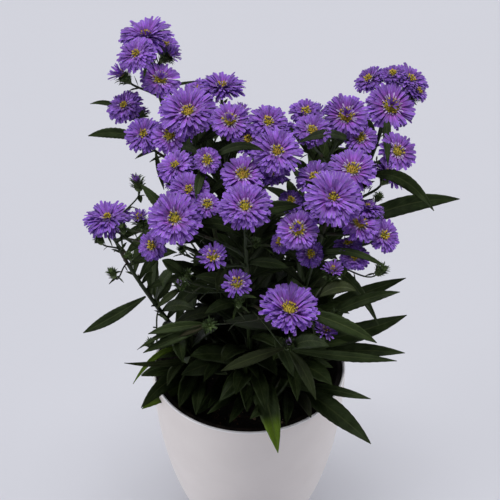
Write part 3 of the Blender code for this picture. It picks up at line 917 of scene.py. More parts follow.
def blades(chance, ring, shape):
    """The narrow sheets of a ring round the Z axis."""
    outline, channel, tip = shape
    count = ring.count
    rows = len(outline)
    share = np.linspace(0, 1, rows)
    across = np.linspace(-1, 1, len(channel))
    lengths = ring.length * chance.normal(1, ring.length_chance, (count, 1))
    around = 2 * math.pi * (np.arange(count) + chance.uniform(-RING_SHIFT, RING_SHIFT, count)) / count
    around = (around + chance.uniform(0, 2 * math.pi))[:, None]
    waves = sum(high * np.sin(times * around + chance.uniform(0, WAVE_STARTS)) for times, high in RING_WAVES)
    start = np.radians(ring.slope + waves + chance.normal(0, SLOPE_CHANCE, (count, 1)))
    turn = np.radians(ring.bend + chance.normal(0, BEND_CHANCE, (count, 1)))
    slopes = start + turn * share**BEND_LATE
    middles = (slopes[:, 1:] + slopes[:, :-1]) / 2
    zero = np.zeros((count, 1))
    run = ring.foot + np.concatenate([zero, np.cumsum(np.cos(middles), 1)], 1) * lengths / (rows - 1)
    climb = ring.height + np.concatenate([zero, np.cumsum(np.sin(middles), 1)], 1) * lengths / (rows - 1)
    half = ring.width / 2 * chance.normal(1, WIDTH_CHANCE, (count, 1)) * outline
    twist = chance.normal(0, TWIST_FOOT, (count, 1)) + chance.normal(0, TWIST_TIP, (count, 1)) * share
    twist = np.radians(twist)[..., None]
    side = half[..., None] * across
    lift = half[..., None] * channel * chance.uniform(*CHANNEL_DEPTHS, (count, 1, 1))
    y = side * np.cos(twist) - lift * np.sin(twist)
    rise_up = side * np.sin(twist) + lift * np.cos(twist)
    y = y + (chance.normal(0, DRIFT_CHANCE, (count, 1)) * lengths * share**2)[..., None]
    draw_back = (share[:, None] ** DRAWN_LATE) * tip * ring.width * chance.uniform(*DRAWN_BACK, (count, 1, 1))
    slopes = slopes[..., None]
    x = run[..., None] - rise_up * np.sin(slopes) - draw_back * np.cos(slopes)
    z = climb[..., None] + rise_up * np.cos(slopes) - draw_back * np.sin(slopes)
    around = around[:, :, None]
    turned_x = x * np.cos(around) - y * np.sin(around)
    turned_y = x * np.sin(around) + y * np.cos(around)
    return np.stack([turned_x, turned_y, z], -1)


def tubes_around(profile, sides):
    """A turned tube about the Z axis as a grid, from pairs of radius and height."""
    turns = np.linspace(0, 2 * math.pi, sides, endpoint=False)
    radius = profile[:, 0][:, None]
    height = profile[:, 1][:, None] + 0 * turns
    return np.stack([radius * np.cos(turns), radius * np.sin(turns), height], -1)


def florets(chance, disc):
    """The small tubes of a disc, open round the outside and shut in the middle, and how far out each is."""
    count = max(FEWEST_FLORETS, int((disc / FLORET_SPACING) ** 2 * FLORETS_PACKED))
    order = np.arange(count)
    share = np.sqrt((order + 0.5) / count)
    turn = order * GOLDEN_TURN
    out = np.stack([np.cos(turn), np.sin(turn), 0 * turn], -1)
    open_up = np.clip((share - FLORET_SHUT_SHARE) / FLORET_OPENING_SHARE, 0, 1)[:, None, None, None]
    opened = tubes_around(OPEN_FLORET, FLORET_SIDES)
    shut = tubes_around(SHUT_FLORET, FLORET_SIDES)
    shapes = opened * open_up + shut * (1 - open_up)
    shapes = shapes * MM * chance.uniform(*FLORET_SIZES, (count, 1, 1, 1))
    lean = (share * chance.uniform(*FLORET_LEANS, count))[:, None, None, None] * out[:, None, None]
    feet = out * (share * disc)[:, None]
    feet[:, 2] = DISC_FOOT + DISC_RISE * (1 - share**2)
    return feet[:, None, None] + shapes + lean * shapes[..., 2:], share


def own_frame(axis):
    """Three directions for a head: two across it and its axis."""
    helper = VIEW_RIGHT if abs(axis[0]) < FAR_RIGHT else VIEW_ABOVE
    first = unit(np.cross(helper, axis))
    return np.stack([first, np.cross(axis, first), axis])


def add_cup(head, chance, middle, axes, cup):
    """The green cup behind a head with its rings of bracts."""
    profile = CUP_OUTLINE * MM * (cup / CUP_WAIST, 1.0)
    head.add(tubes_around(profile, CUP_SIDES) @ axes + middle, chance, kind=CUP_FACES, closed=True)
    for step, (height, share) in enumerate(CUP_RINGS):
        ring = LOWEST_BRACTS._replace(
            count=LOWEST_BRACTS.count + BRACTS_MORE * step,
            length=LOWEST_BRACTS.length + BRACTS_LONGER * step,
            foot=cup * share,
            height=height * MM,
            slope=LOWEST_BRACTS.slope - BRACTS_FLATTER * step,
        )
        head.add(blades(chance, ring, BRACT_SHAPE) @ axes + middle, chance, kind=CUP_FACES)


def build_head(name, place, style, tone, *nodes):
    """One flower head, which may stand for CAD nodes."""
    chance = chance_for(name)
    head = Sheets()
    axes = own_frame(place.axis)
    middle = place.middle
    growth = math.sqrt(place.radius / USUAL_RADIUS)
    for whorl in style.whorls:
        count = max(FEWEST_RAYS, round(whorl.rays * growth * RAY_CROWDING))
        width = RAY_WIDTH * USUAL_RADIUS * growth * whorl.width
        length = whorl.length * place.radius
        foot = whorl.foot * place.radius
        ring = Ring(count, length, width, foot, 0, whorl.slope, whorl.bend, LENGTH_CHANCE)
        rays = blades(chance, ring, RAY_SHAPE)
        tones = np.clip(tone + chance.normal(0, TONE_CHANCE, count), 0, TONE_MOST)
        head.add(rays @ axes + middle, chance, kind=RAY_FACES, tone=tones)
    disc = place.radius * style.disc
    tubes, share = florets(chance, disc)
    age = style.age * AGE_IN_MIDDLE * (1 - share) + chance.normal(*AGE_CHANCE, len(share))
    age = np.clip(age, 0, 1)
    head.add(tubes @ axes + middle, chance, kind=FLORET_FACES, tone=age, closed=True)
    dome = tubes_around(DISC_DOME * (disc, MM), CUP_SIDES)
    head.add(dome @ axes + middle, chance, kind=FLORET_FACES, tone=DISC_DOME_TONE, closed=True)
    curls = CURLS._replace(length=CURLS.length * growth, foot=CURLS.foot * disc)
    head.add(blades(chance, curls, RAY_SHAPE) @ axes + middle, chance, kind=RAY_FACES, tone=CURL_TONE)
    if style.tuft:
        tuft = TUFT._replace(count=style.tuft, length=TUFT.length * place.radius, foot=TUFT.foot * disc)
        head.add(blades(chance, tuft, RAY_SHAPE) @ axes + middle, chance, kind=RAY_FACES, tone=TUFT_TONE)
    cup = min(CUP_RADIUS, place.radius * CUP_RADIUS_SHARE) * CUP_SLIMNESS
    add_cup(head, chance, middle, axes, cup)
    belongs(head.build(name, RAY_FINISH, FLORET_FINISH, BRACT_FINISH), "ray_purple", *nodes)


def ribs_group():
    """Fine ribs across a sheet: Height swings from 0 to 1, Count times from one edge to the other."""
    group, start, end = new_group("ribs", [("Across", "Float"), ("Count", "Float")], [("Height", "Float")])
    turns = calc(group, "MULTIPLY", start.outputs["Across"], start.outputs["Count"])
    wave = calc(group, "SINE", calc(group, "MULTIPLY", turns, 2 * math.pi))
    group.links.new(calc(group, "MULTIPLY_ADD", wave, 0.5, 0.5), end.inputs["Height"])
    return group


RIBS = ribs_group()


def ribs(tree, across, count):
    return placed(tree, RIBS, Across=across, Count=count)["Height"]


def off_middle(tree, across):
    """How far a place is from the middle of its sheet, up to 0.5 at the edges."""
    return calc(tree, "ABSOLUTE", calc(tree, "SUBTRACT", across, 0.5))


def lit(tree, colour, light):
    """A colour made darker or lighter."""
    return put(tree, "HueSaturation", Color=colour, Value=light).outputs[0]


def ray_finish():
    """Pink to violet by the ray's tone and from its foot to its tip, with pale curls for the highest tone.
    Low tones also paint shade as a darker violet, and the edges carry a painted highlight towards the tip and
    painted shade towards the foot.
    """
    finish, tree, shader = new_finish("purple_ray", roughness=0.62, gloss=0.22)
    across, along_it = read_map(tree, "sheet")
    tone, chance = read_map(tree, "tone")
    edge = rise(tree, off_middle(tree, across), 0.28, 0.5)
    veins = ribs(tree, across, 4.0)
    purple = tint(tree, RAY_COLOUR, RAY_TIP_COLOUR, rise(tree, along_it, 0.45, 1.0))
    purple = tint(tree, purple, RAY_BASE_COLOUR, rise(tree, along_it, 0.75, 0.1), tone)
    # Violet for low tones, which is also painted shade: the lowest tones darken the rays for heads that sit
    # in shade
    purple = tint(tree, purple, RAY_VIOLET_AND_SHADE, rise(tree, tone, 0.5, 0.0, 0.0, 0.7))
    purple = tint(tree, purple, RAY_PALE_AND_HIGHLIGHT, rise(tree, along_it, 0.20, 0.0, 0.0, 0.4))
    # Painted highlight: the edges of the rays are paler towards the tip
    purple = tint(tree, purple, RAY_PALE_AND_HIGHLIGHT, edge, rise(tree, along_it, 0.5, 0.9, 0.0, 0.45))
    # Painted shade between the rays: their edges are darker towards the foot
    purple = tint(tree, purple, RAY_SHADOW, edge, rise(tree, along_it, 0.85, 0.3, 0.0, 0.6))
    purple = tint(tree, purple, RAY_PALE_AND_HIGHLIGHT, rise(tree, tone, 0.92, 1.0, 0.0, 0.65))
    purple = tint(tree, purple, RAY_VIOLET_AND_SHADE, veins, 0.22)
    clouds = mottle(tree, place_coordinates(tree), scale=260.0)
    light = calc(tree, "MULTIPLY_ADD", chance, 0.6, 0.66)
    light = calc(tree, "MULTIPLY", light, calc(tree, "MULTIPLY_ADD", clouds, 0.2, 0.88))
    cover(tree, shader, lit(tree, purple, light), rise(tree, veins, 0.0, 1.0, 0.55, 0.7))
    bump(tree, shader, veins, depth=0.00012, strength=0.6)
    shader.inputs["Sheen Weight"].default_value = RAY_SHEEN
    return finish


def floret_finish():
    """Green at the foot and yellow at the mouth, or green to brown where the tone says that it is old."""
    finish, tree, shader = new_finish("yellow_floret", roughness=0.6, gloss=0.25)
    _, along_it = read_map(tree, "sheet")
    age, chance = read_map(tree, "tone")
    ripe = tint(tree, FLORET_YELLOW, FLORET_OCHRE, rise(tree, chance, 0.35, 0.95))
    fresh = tint(tree, FLORET_GREEN, ripe, rise(tree, along_it, 0.25, 0.75))
    old = tint(tree, FLORET_GREEN, FLORET_BROWN, rise(tree, chance, 0.3, 0.8))
    yellow = tint(tree, fresh, old, rise(tree, age, 0.25, 0.75))
    yellow = lit(tree, yellow, calc(tree, "MULTIPLY_ADD", chance, 0.5, 0.7))
    cover(tree, shader, yellow, rise(tree, along_it, 0.0, 1.0, 0.7, 0.5))
    return finish


def bract_finish():
    finish, tree, shader = new_finish("green_bract", roughness=0.55, gloss=0.3)
    across, along_it = read_map(tree, "sheet")
    _, chance = read_map(tree, "tone")
    edge = off_middle(tree, across)
    green = tint(tree, BRACT_GREEN, BRACT_PALE, rise(tree, along_it, 0.55, 0.05, 0.0, 0.7))
    green = tint(tree, green, BRACT_PALE, rise(tree, edge, 0.3, 0.5, 0.0, 0.4))
    green = lit(tree, green, calc(tree, "MULTIPLY_ADD", chance, 0.7, 0.6))
    cover(tree, shader, green, rise(tree, edge, 0.0, 0.5, 0.5, 0.65))
    bump(tree, shader, ribs(tree, across, 3.0), depth=0.0001, strength=0.5)
    return finish


RAY_FINISH = ray_finish()
FLORET_FINISH = floret_finish()
BRACT_FINISH = bract_finish()

for title, numbers in HEAD_STYLES.items():
    for number in numbers:
        flower = f"flower_{number:02d}"
        tone = TONE_OF_HEAD.get(number, USUAL_TONE)
        build_head(f"{flower}_head", CAD_HEADS[flower], STYLES[title], tone, flower)


# Some 35 more heads fill the plant between those that have a CAD solid. They are made the same way, and
# stand on thinner stalks that fork off the nearest stem or stalk below them.
CROWN_CENTRE = np.array((0.010, 0.0, 0.262))
CROWN_RADII = np.array((0.120, 0.104, 0.108))
SIDE_STALK_RADIUS = 0.00085
SIDE_STALK_TIP = 0.0007
SIDE_STALK_SIDES = 6
SIDE_STALK_STEPS = 14
SIDE_STALK_FAR_RIGHT = 0.8
FORK_CLEARANCE = 0.008
FORK_SLOPE = 0.35
BACK_TONE = 0.5

# u and v are where the head's middle shows in the photograph, nearer is how many millimetres it stands
# before the plant's egg-shaped crown, across is its size in millimetres, and right and front are how many
# degrees it leans from upright.
# tone is that of the rays, from 0 for violet to 1 for pink; a tone of 0.05 paints the shade of the heads that
# sit deep in the foliage, as a darker violet
MoreHead = namedtuple("MoreHead", "u v nearer across right front style tone")
MORE_HEADS = [
    MoreHead(164, 46, -14, 22, 14, 4, "open", 0.5),
    MoreHead(170, 55, 0, 13, 50, 0, "brush", 0.3),
    MoreHead(122, 75, 0, 15, -40, 0, "brush", 0.3),
    MoreHead(140, 112, -16, 13, 10, -60, "young", 0.3),
    MoreHead(200, 91, -12, 21, 4, 10, "open", 0.5),
    MoreHead(241, 112, -8, 10, 10, 10, "brush", 0.5),
    MoreHead(207.5, 160.5, 4, 17, 0, 45, "daisy", 0.5),
    MoreHead(139.5, 219, 0, 11, -10, 0, "brush", 0.2),
    MoreHead(207, 205, 2, 17, 10, 25, "daisy", 0.5),
    MoreHead(153, 246, 0, 19, -30, 45, "open", 0.3),
    MoreHead(306, 113, 0, 22, 0, 10, "open", 0.3),
    MoreHead(316, 116, -10, 14, 0, 0, "brush", 0.3),
    MoreHead(393, 75, -6, 18, -4, 6, "open", 0.3),
    MoreHead(417, 92, -4, 16, 40, 10, "open", 0.3),
    MoreHead(360, 138, -14, 23, 10, 30, "daisy", 0.6),
    MoreHead(315, 178, -8, 25, -20, 10, "open", 0.4),
    MoreHead(366, 209, -6, 24, 10, -20, "dome", 0.5),
    MoreHead(282, 242, -10, 15, -30, 30, "open", 0.05),
    MoreHead(310, 254, -14, 18, 10, 40, "open", 0.05),
    MoreHead(348, 246, -10, 18, -6, -10, "open", 0.3),
    MoreHead(355, 258, -4, 19, 0, 20, "open", 0.4),
    MoreHead(333, 272, 4, 12, 0, 0, "brush", 0.7),
    MoreHead(325, 332, 6, 15, 10, 10, "brush", 0.5),
    MoreHead(274, 173, -10, 20, 4, 16, "open", 0.05),
    MoreHead(291, 202, -18, 17, 4, 16, "open", 0.05),
    MoreHead(248, 141, -12, 21, 0, 20, "open", 0.4),
]
# The back of the plant doesn't show. Its heads are placed in millimetres, between the four CAD heads there,
# with their size, their leans to the right and to the front, and their kind.
BACK_HEADS = [
    ((-50, 72, 262), 24, -24, -30, "dome"),
    ((-22, 92, 258), 27, -4, -44, "open"),
    ((30, 92, 292), 22, 6, -34, "tuft"),
    ((76, 70, 262), 25, 20, -34, "open"),
    ((-24, 74, 306), 26, -6, -24, "daisy"),
    ((78, 52, 312), 22, 18, -20, "dome"),
    ((22, 74, 304), 24, 4, -26, "open"),
    ((-58, 84, 236), 20, -24, -50, "young"),
    ((52, 96, 240), 23, 12, -52, "open"),
]


def sight(u, v):
    """The direction from the eye through a picture point, one metre deep."""
    across = (u - VIEW_SIZE / 2) / VIEW_FOCAL
    up = (VIEW_SIZE / 2 - v) / VIEW_FOCAL
    return VIEW_AHEAD + VIEW_RIGHT * across + VIEW_ABOVE * up


def on_crown(u, v, nearer):
    """Where a picture point's sight line meets the crown, or passes nearest to it, moved nearer the eye."""
    way = unit(sight(u, v))
    start = (EYE - CROWN_CENTRE) / CROWN_RADII
    run = way / CROWN_RADII
    nearest = -(start @ run) / (run @ run)
    closest = start + run * nearest
    spare = max(1 - closest @ closest, 0)
    return EYE + way * (nearest - math.sqrt(spare) / np.linalg.norm(run) - nearer * MM)


def leaning(right, front):
    return unit(np.array((math.tan(math.radians(right)), -math.tan(math.radians(front)), 1.0)))


def fork_below(end):
    """The nearest line point that lies well below a stalk's end."""
    away = np.linalg.norm(LINE_PLACES - end, axis=1)
    below = end[2] - LINE_PLACES[:, 2] > np.maximum(FORK_CLEARANCE, FORK_SLOPE * away)
    return int(np.argmin(np.where(below, away, np.inf)))


def tube(line, radii, sides):
    """A tube along a line as a closed grid."""
    ways = np.gradient(line, axis=0)
    ways /= np.linalg.norm(ways, axis=1)[:, None]
    chord = unit(line[-1] - line[0])
    level = abs(chord[0]) < SIDE_STALK_FAR_RIGHT
    helper = unit(np.cross(chord, VIEW_RIGHT if level else VIEW_ABOVE))
    first = np.cross(ways, helper)
    first /= np.linalg.norm(first, axis=1)[:, None]
    second = np.cross(ways, first)
    turns = np.linspace(0, 2 * math.pi, sides, endpoint=False)[None, :, None]
    ring = first[:, None] * np.cos(turns) + second[:, None] * np.sin(turns)
    return line[:, None] + ring * np.reshape(radii, (-1, 1, 1))


SIDE_STALKS = {stem: Sheets() for stem in TIP_FLOWERS}
SIDE_STALK_LINES = {stem: [] for stem in TIP_FLOWERS}


def grow_stalk(middle, axis, back, thinness=1.0):
    """A side stalk from the nearest fork up to a point behind the middle of what it carries."""
    end = middle - axis * back
    k = fork_below(end)
    start, way, stem = LINE_PLACES[k], unit(LINE_WAYS[k]), LINE_STEMS[k]
    reach = np.linalg.norm(end - start)
    leaving = unit(way + unit(end - start)) * reach
    line = hermite(start, leaving, end, axis * reach * FLOWER_PULL, SIDE_STALK_STEPS)
    radii = np.linspace(SIDE_STALK_RADIUS, SIDE_STALK_TIP, len(line)) * thinness
    SIDE_STALKS[stem].add(tube(line, radii, SIDE_STALK_SIDES), chance_for(stem), closed=True)
    SIDE_STALK_LINES[stem].append(line)
    return stem


for k, more in enumerate(MORE_HEADS, 1):
    spot = Head(on_crown(more.u, more.v, more.nearer), leaning(more.right, more.front), more.across * MM / 2)
    build_head(f"more_head_{k:02d}", spot, STYLES[more.style], more.tone)
    grow_stalk(spot.middle, spot.axis, CUP_DEPTH - 2 * GAP)

for k, (middle, across, right, front, title) in enumerate(BACK_HEADS, 1):
    spot = Head(np.array(middle) * MM, leaning(right, front), across * MM / 2)
    build_head(f"back_head_{k:02d}", spot, STYLES[title], BACK_TONE)
    grow_stalk(spot.middle, spot.axis, CUP_DEPTH - 2 * GAP)


# The buds are green cups of overlapping bracts whose points bend outwards. The oldest show a brush of rays.
# Each grows on a thin side stalk of its own. All measures are those of the usual bud, in metres, apart from
# BUD_USUAL and the heights of the outline and the rings, in millimetres. A foot is a share of its radius.
BUD_USUAL = 6.0
BUD_OUTLINE = np.array(
    ((0.25, -3.4), (0.72, -2.9), (1.0, -1.6), (0.98, 0.2), (0.80, 1.5), (0.45, 2.5), (0.06, 3.0))
)
BUD_SLIMNESS = 0.70
BUD_BACK = 0.0031
BUD_SIDES = 12
BUD_STALK_THINNESS = 0.7
BUD_RINGS = ((-2.4, 0.54), (-1.2, 0.70), (0.1, 0.70), (1.2, 0.58), (2.0, 0.36))
BUD_BRACTS = Ring(11, 0.0036, 0.0010, 0, 0, 78, -58, 0.2)
BUD_RAYS = Ring(0, 0.0034, 0.0011, 0.3, 0.0014, 74, 4, 0.2)
BUD_CUP_FACES = 1

# Places, sizes and leans are given as for the added heads, and rays is how many show at the bud's tip
Bud = namedtuple("Bud", "u v nearer across right front rays tone")
BUDS = [
    Bud(113, 274, 0, 5.6, -20, 0, 0, 0.5),
    Bud(100, 241, 0, 5.4, -30, 0, 0, 0.5),
    Bud(130, 257, 4, 4.6, -14, 10, 0, 0.5),
    Bud(123, 230, -4, 5.0, -14, 0, 0, 0.5),
    Bud(181, 285.5, 0, 6.4, -10, 20, 12, 1.0),
    Bud(187, 275, -4, 5.0, 10, 10, 0, 0.5),
    Bud(182, 250, 0, 5.0, 0, 20, 0, 0.5),
    Bud(209.5, 325, 4, 7.0, 0, 50, 0, 0.5),
    Bud(151, 344, 0, 5.0, -20, 20, 0, 0.5),
    Bud(380, 271, 0, 7.0, 30, 10, 0, 0.5),
    Bud(378, 198, 0, 5.0, 20, 10, 0, 0.5),
    Bud(256, 244, 0, 5.0, 0, 20, 0, 0.5),
    Bud(334, 316, 0, 5.0, 20, 10, 0, 0.5),
    Bud(289, 345, 2, 6.6, 0, 20, 16, 1.0),
    Bud(238.5, 304, 4, 5.0, 0, 10, 0, 1.0),
    Bud(138, 185, 0, 8.0, -10, 0, 16, 0.9),
]


def build_bud(name, bud):
    chance = chance_for(name)
    middle = on_crown(bud.u, bud.v, bud.nearer)
    axis = leaning(bud.right, bud.front)
    axes = own_frame(axis)
    scale = bud.across / BUD_USUAL
    radius = bud.across * MM / 2
    shape = Sheets()
    outline = BUD_OUTLINE * (radius * BUD_SLIMNESS, MM * scale)
    shape.add(tubes_around(outline, BUD_SIDES) @ axes + middle, chance, kind=BUD_CUP_FACES, closed=True)
    for height, share in BUD_RINGS:
        ring = BUD_BRACTS._replace(
            length=BUD_BRACTS.length * scale,
            width=BUD_BRACTS.width * scale,
            foot=radius * share,
            height=height * MM * scale,
        )
        shape.add(blades(chance, ring, BRACT_SHAPE) @ axes + middle, chance, kind=BUD_CUP_FACES)
    if bud.rays:
        ring = BUD_RAYS._replace(
            count=bud.rays,
            length=BUD_RAYS.length * scale,
            foot=radius * BUD_RAYS.foot,
            height=BUD_RAYS.height * scale,
        )
        shape.add(blades(chance, ring, RAY_SHAPE) @ axes + middle, chance, kind=RAY_FACES, tone=bud.tone)
    grow_stalk(middle, axis, BUD_BACK * scale, BUD_STALK_THINNESS)
    belongs(shape.build(name, RAY_FINISH, BRACT_FINISH), "stem_green")


for k, bud in enumerate(BUDS, 1):
    build_bud(f"bud_{k:02d}", bud)

for stem, stalks in SIDE_STALKS.items():
    if stalks.count:
        belongs(stalks.build(f"{stem}_side_stalks", STEM_SKIN), "stem_green")


# The leaves are long, narrow and pointed, without stalks, folded a little along a pale midrib and dark green
# above and greyer below. They grow singly all along the stems. The fourteen that reach furthest have a CAD
# solid, and these follow its curve.
LEAF_ROWS = 29
LEAF_TOP = np.array((-1, -0.68, -0.34, 0, 0.34, 0.68, 1))
LEAF_UNDER = LEAF_TOP[-2:0:-1]
LEAF_ACROSS = np.concatenate([LEAF_TOP, LEAF_UNDER])
LEAF_IS_UNDER = np.concatenate([0 * LEAF_TOP, 0 * LEAF_UNDER + 1])
LEAF_THICKNESS = 0.0005
LEAF_LIFT = 0.0008
LEAF_FOLD = 0.22
LEAF_FOLD_LATE = 1.2
LEAF_PUFF = 0.07
LEAF_RIB = 0.00035
LEAF_CLASP_SHARE = 0.14
LEAF_WIDEST_LATE = 1.15
LEAF_FULLNESS = 0.85
LEAF_POINT = 0.0002
LEAF_TEETH = 0.035
LEAF_SWAY = 0.025
LEAF_TWIST = 16
LEAF_WAVES = (1.5, 3.5)
LEAF_WAVE_HEIGHT = 0.10
LEAF_FULL_THICKNESS_HALF = 0.002
LEAF_VEINS = 9.0
LEAF_VEIN_SLANT = -1.7

LEAF_DARK = (0.0140, 0.0240, 0.0060)
LEAF_GREEN = (0.0330, 0.0510, 0.0160)
LEAF_LIME = (0.1100, 0.1850, 0.0130)
LEAF_BROWN = (0.0300, 0.0260, 0.0140)
LEAF_UNDERSIDE = (0.0400, 0.0420, 0.0280)
LEAF_MIDRIB = (0.0800, 0.1000, 0.0380)

# Painted shade: the blades near the plant's axis are made darker, for the shade inside the crown
SHADED_RADII = (0.020, 0.070)
SHADED_LIGHT = 0.30

# width: the blade's, and arch: how far it stands above a straight line, in millimetres. roll: in degrees.
# tone: from 0 for brown, past green, to 1 for all lime. facing: the way that the blade's face is turned.
Leaf = namedtuple("Leaf", "base tip width arch roll tone facing")
TO_THE_FRONT = -VIEW_AHEAD


def leaf_half_widths(rows, width):
    """Half the width at each row of a lance shape that clasps the stem and ends in a point."""
    share = np.linspace(0, 1, rows)
    swell = np.sin(math.pi * share**LEAF_WIDEST_LATE) ** LEAF_FULLNESS
    lance = LEAF_CLASP_SHARE * (1 - share) + (1 - LEAF_CLASP_SHARE) * swell
    return np.maximum(width[:, None] * lance / 2, LEAF_POINT)


def leaf_bodies(leaves, chance, rows=LEAF_ROWS, liveliness=1.0):
    """Thin closed blades from their base to their tip, one for each leaf."""
    base = np.array([leaf.base for leaf in leaves])
    tip = np.array([leaf.tip for leaf in leaves])
    width = np.array([leaf.width for leaf in leaves], float)
    arch = np.array([leaf.arch for leaf in leaves], float)
    roll = np.array([leaf.roll for leaf in leaves], float)
    facing = np.array([leaf.facing for leaf in leaves])
    count = len(leaves)
    share = np.linspace(0, 1, rows)[None, :, None]
    upright = np.array((0, 0, 1.0))
    middle = (base + tip) / 2 + upright * (2 * arch * MM)[:, None]
    spine = base[:, None] * (1 - share) ** 2 + middle[:, None] * 2 * share * (1 - share)
    spine = spine + tip[:, None] * share**2
    flat_side = np.cross(tip - base, facing)
    flat_side /= np.linalg.norm(flat_side, axis=1)[:, None]
    length = np.linalg.norm(tip - base, axis=1)
    sway = liveliness * chance.normal(0, LEAF_SWAY, count) * length
    spine = spine + flat_side[:, None] * sway[:, None, None] * np.sin(math.pi * share)
    way = np.gradient(spine, axis=1)
    way /= np.linalg.norm(way, axis=2)[..., None]
    twist = liveliness * chance.normal(0, LEAF_TWIST, count)[:, None] * share[..., 0]
    turn = np.radians(roll[:, None] + twist)[..., None]
    side = flat_side[:, None] - way * (way * flat_side[:, None]).sum(2)[..., None]
    side /= np.linalg.norm(side, axis=2)[..., None]
    side = side * np.cos(turn) + np.cross(way, side) * np.sin(turn)
    face = np.cross(side, way)
    half = leaf_half_widths(rows, width * MM)[..., None]
    teeth = 1 + LEAF_TEETH * liveliness * np.where(np.arange(rows) % 2, 1, -1)
    out = np.abs(LEAF_ACROSS)
    reach = half * np.where(out == 1, teeth[:, None], 1.0) * LEAF_ACROSS
    waves = share * chance.uniform(*LEAF_WAVES, (count, 1, 1)) + chance.uniform(0, 1, (count, 1, 1))
    waves = np.sin(2 * math.pi * waves) * np.sign(LEAF_ACROSS) * out**2 * LEAF_WAVE_HEIGHT * liveliness
    lift = half * (LEAF_FOLD * out**LEAF_FOLD_LATE + LEAF_PUFF * np.sin(math.pi * out) + waves)
    thickness = LEAF_IS_UNDER * (LEAF_THICKNESS + LEAF_RIB * (out == 0))
    lift -= thickness * np.minimum(half / LEAF_FULL_THICKNESS_HALF, 1)
    return spine[:, :, None] + side[:, :, None] * reach[..., None] + face[:, :, None] * lift[..., None]


def leaf_skin_group():
    """From how far across and along a leaf sheet a place is: how far out from the midrib, whether it is on
    the underside, and how much it is part of the midrib and of a side vein."""
    outputs = [("Out", "Float"), ("Under", "Float"), ("Midrib", "Float"), ("Veins", "Float")]
    group, start, end = new_group("leaf_skin", [("Across", "Float"), ("Along", "Float")], outputs)
    across, along_it = start.outputs["Across"], start.outputs["Along"]
    folded = calc(group, "FRACT", calc(group, "MULTIPLY", across, 2.0))
    out = calc(group, "ABSOLUTE", calc(group, "MULTIPLY_ADD", folded, 2.0, -1.0))
    slant = calc(group, "MULTIPLY_ADD", along_it, LEAF_VEINS, calc(group, "MULTIPLY", out, LEAF_VEIN_SLANT))
    wave = calc(group, "SINE", calc(group, "MULTIPLY", slant, 2 * math.pi))
    results = {
        "Out": out,
        "Under": calc(group, "GREATER_THAN", across, 0.5),
        "Midrib": rise(group, out, 0.10, 0.03),
        "Veins": rise(group, wave, 0.82, 1.0),
    }
    for socket, value in results.items():
        group.links.new(value, end.inputs[socket])
    return group


def leaf_finish():
    finish, tree, shader = new_finish("green_blade", roughness=0.5, gloss=0.10)
    across, along_it = read_map(tree, "sheet")
    tone, chance = read_map(tree, "tone")
    place = place_coordinates(tree)
    skin = placed(tree, leaf_skin_group(), Across=across, Along=along_it)
    clouds = mottle(tree, place, scale=110.0, low=0.3, high=0.7)
    cells = mottle(tree, place, scale=1500.0, low=0.3, high=0.7)
    all_over = rise(tree, tone, 0.90, 1.0)
    from_the_tip = rise(tree, along_it, 0.70, 0.84, all_over, 1.0)
    green = tint(tree, LEAF_DARK, LEAF_GREEN, clouds)
    green = tint(tree, green, LEAF_LIME, rise(tree, tone, 0.55, 0.9), from_the_tip)
    green = tint(tree, green, LEAF_BROWN, rise(tree, tone, 0.45, 0.0))
    green = tint(tree, green, LEAF_DARK, cells, 0.25)
    green = tint(tree, green, LEAF_MIDRIB, skin["Veins"], 0.14)
    green = tint(tree, green, LEAF_MIDRIB, rise(tree, skin["Out"], 0.9, 1.0), 0.15)
    green = tint(tree, green, LEAF_UNDERSIDE, skin["Under"], 0.75)
    green = tint(tree, green, LEAF_MIDRIB, skin["Midrib"], 0.45)
    # Painted shade: a blade's colour is darkened towards the plant's axis, down to SHADED_LIGHT of its
    # brightness
    level = put(tree, "Mapping", Vector=place, Scale=(1.0, 1.0, 0.0)).outputs[0]
    from_axis = tree.nodes.new("ShaderNodeVectorMath")
    from_axis.operation = "LENGTH"
    tree.links.new(level, from_axis.inputs[0])
    painted_crown_shade = rise(tree, from_axis.outputs["Value"], *SHADED_RADII, SHADED_LIGHT, 1.0)
    light = calc(tree, "MULTIPLY", calc(tree, "MULTIPLY_ADD", chance, 0.5, 0.75), painted_crown_shade)
    cover(tree, shader, lit(tree, green, light), rise(tree, cells, 0.0, 1.0, 0.44, 0.58))
    relief = calc(tree, "MULTIPLY_ADD", cells, 0.3, calc(tree, "MULTIPLY", skin["Veins"], -0.7))
    bump(tree, shader, relief, depth=0.00022, strength=0.6)
    return finish


LEAF_FINISH = leaf_finish()

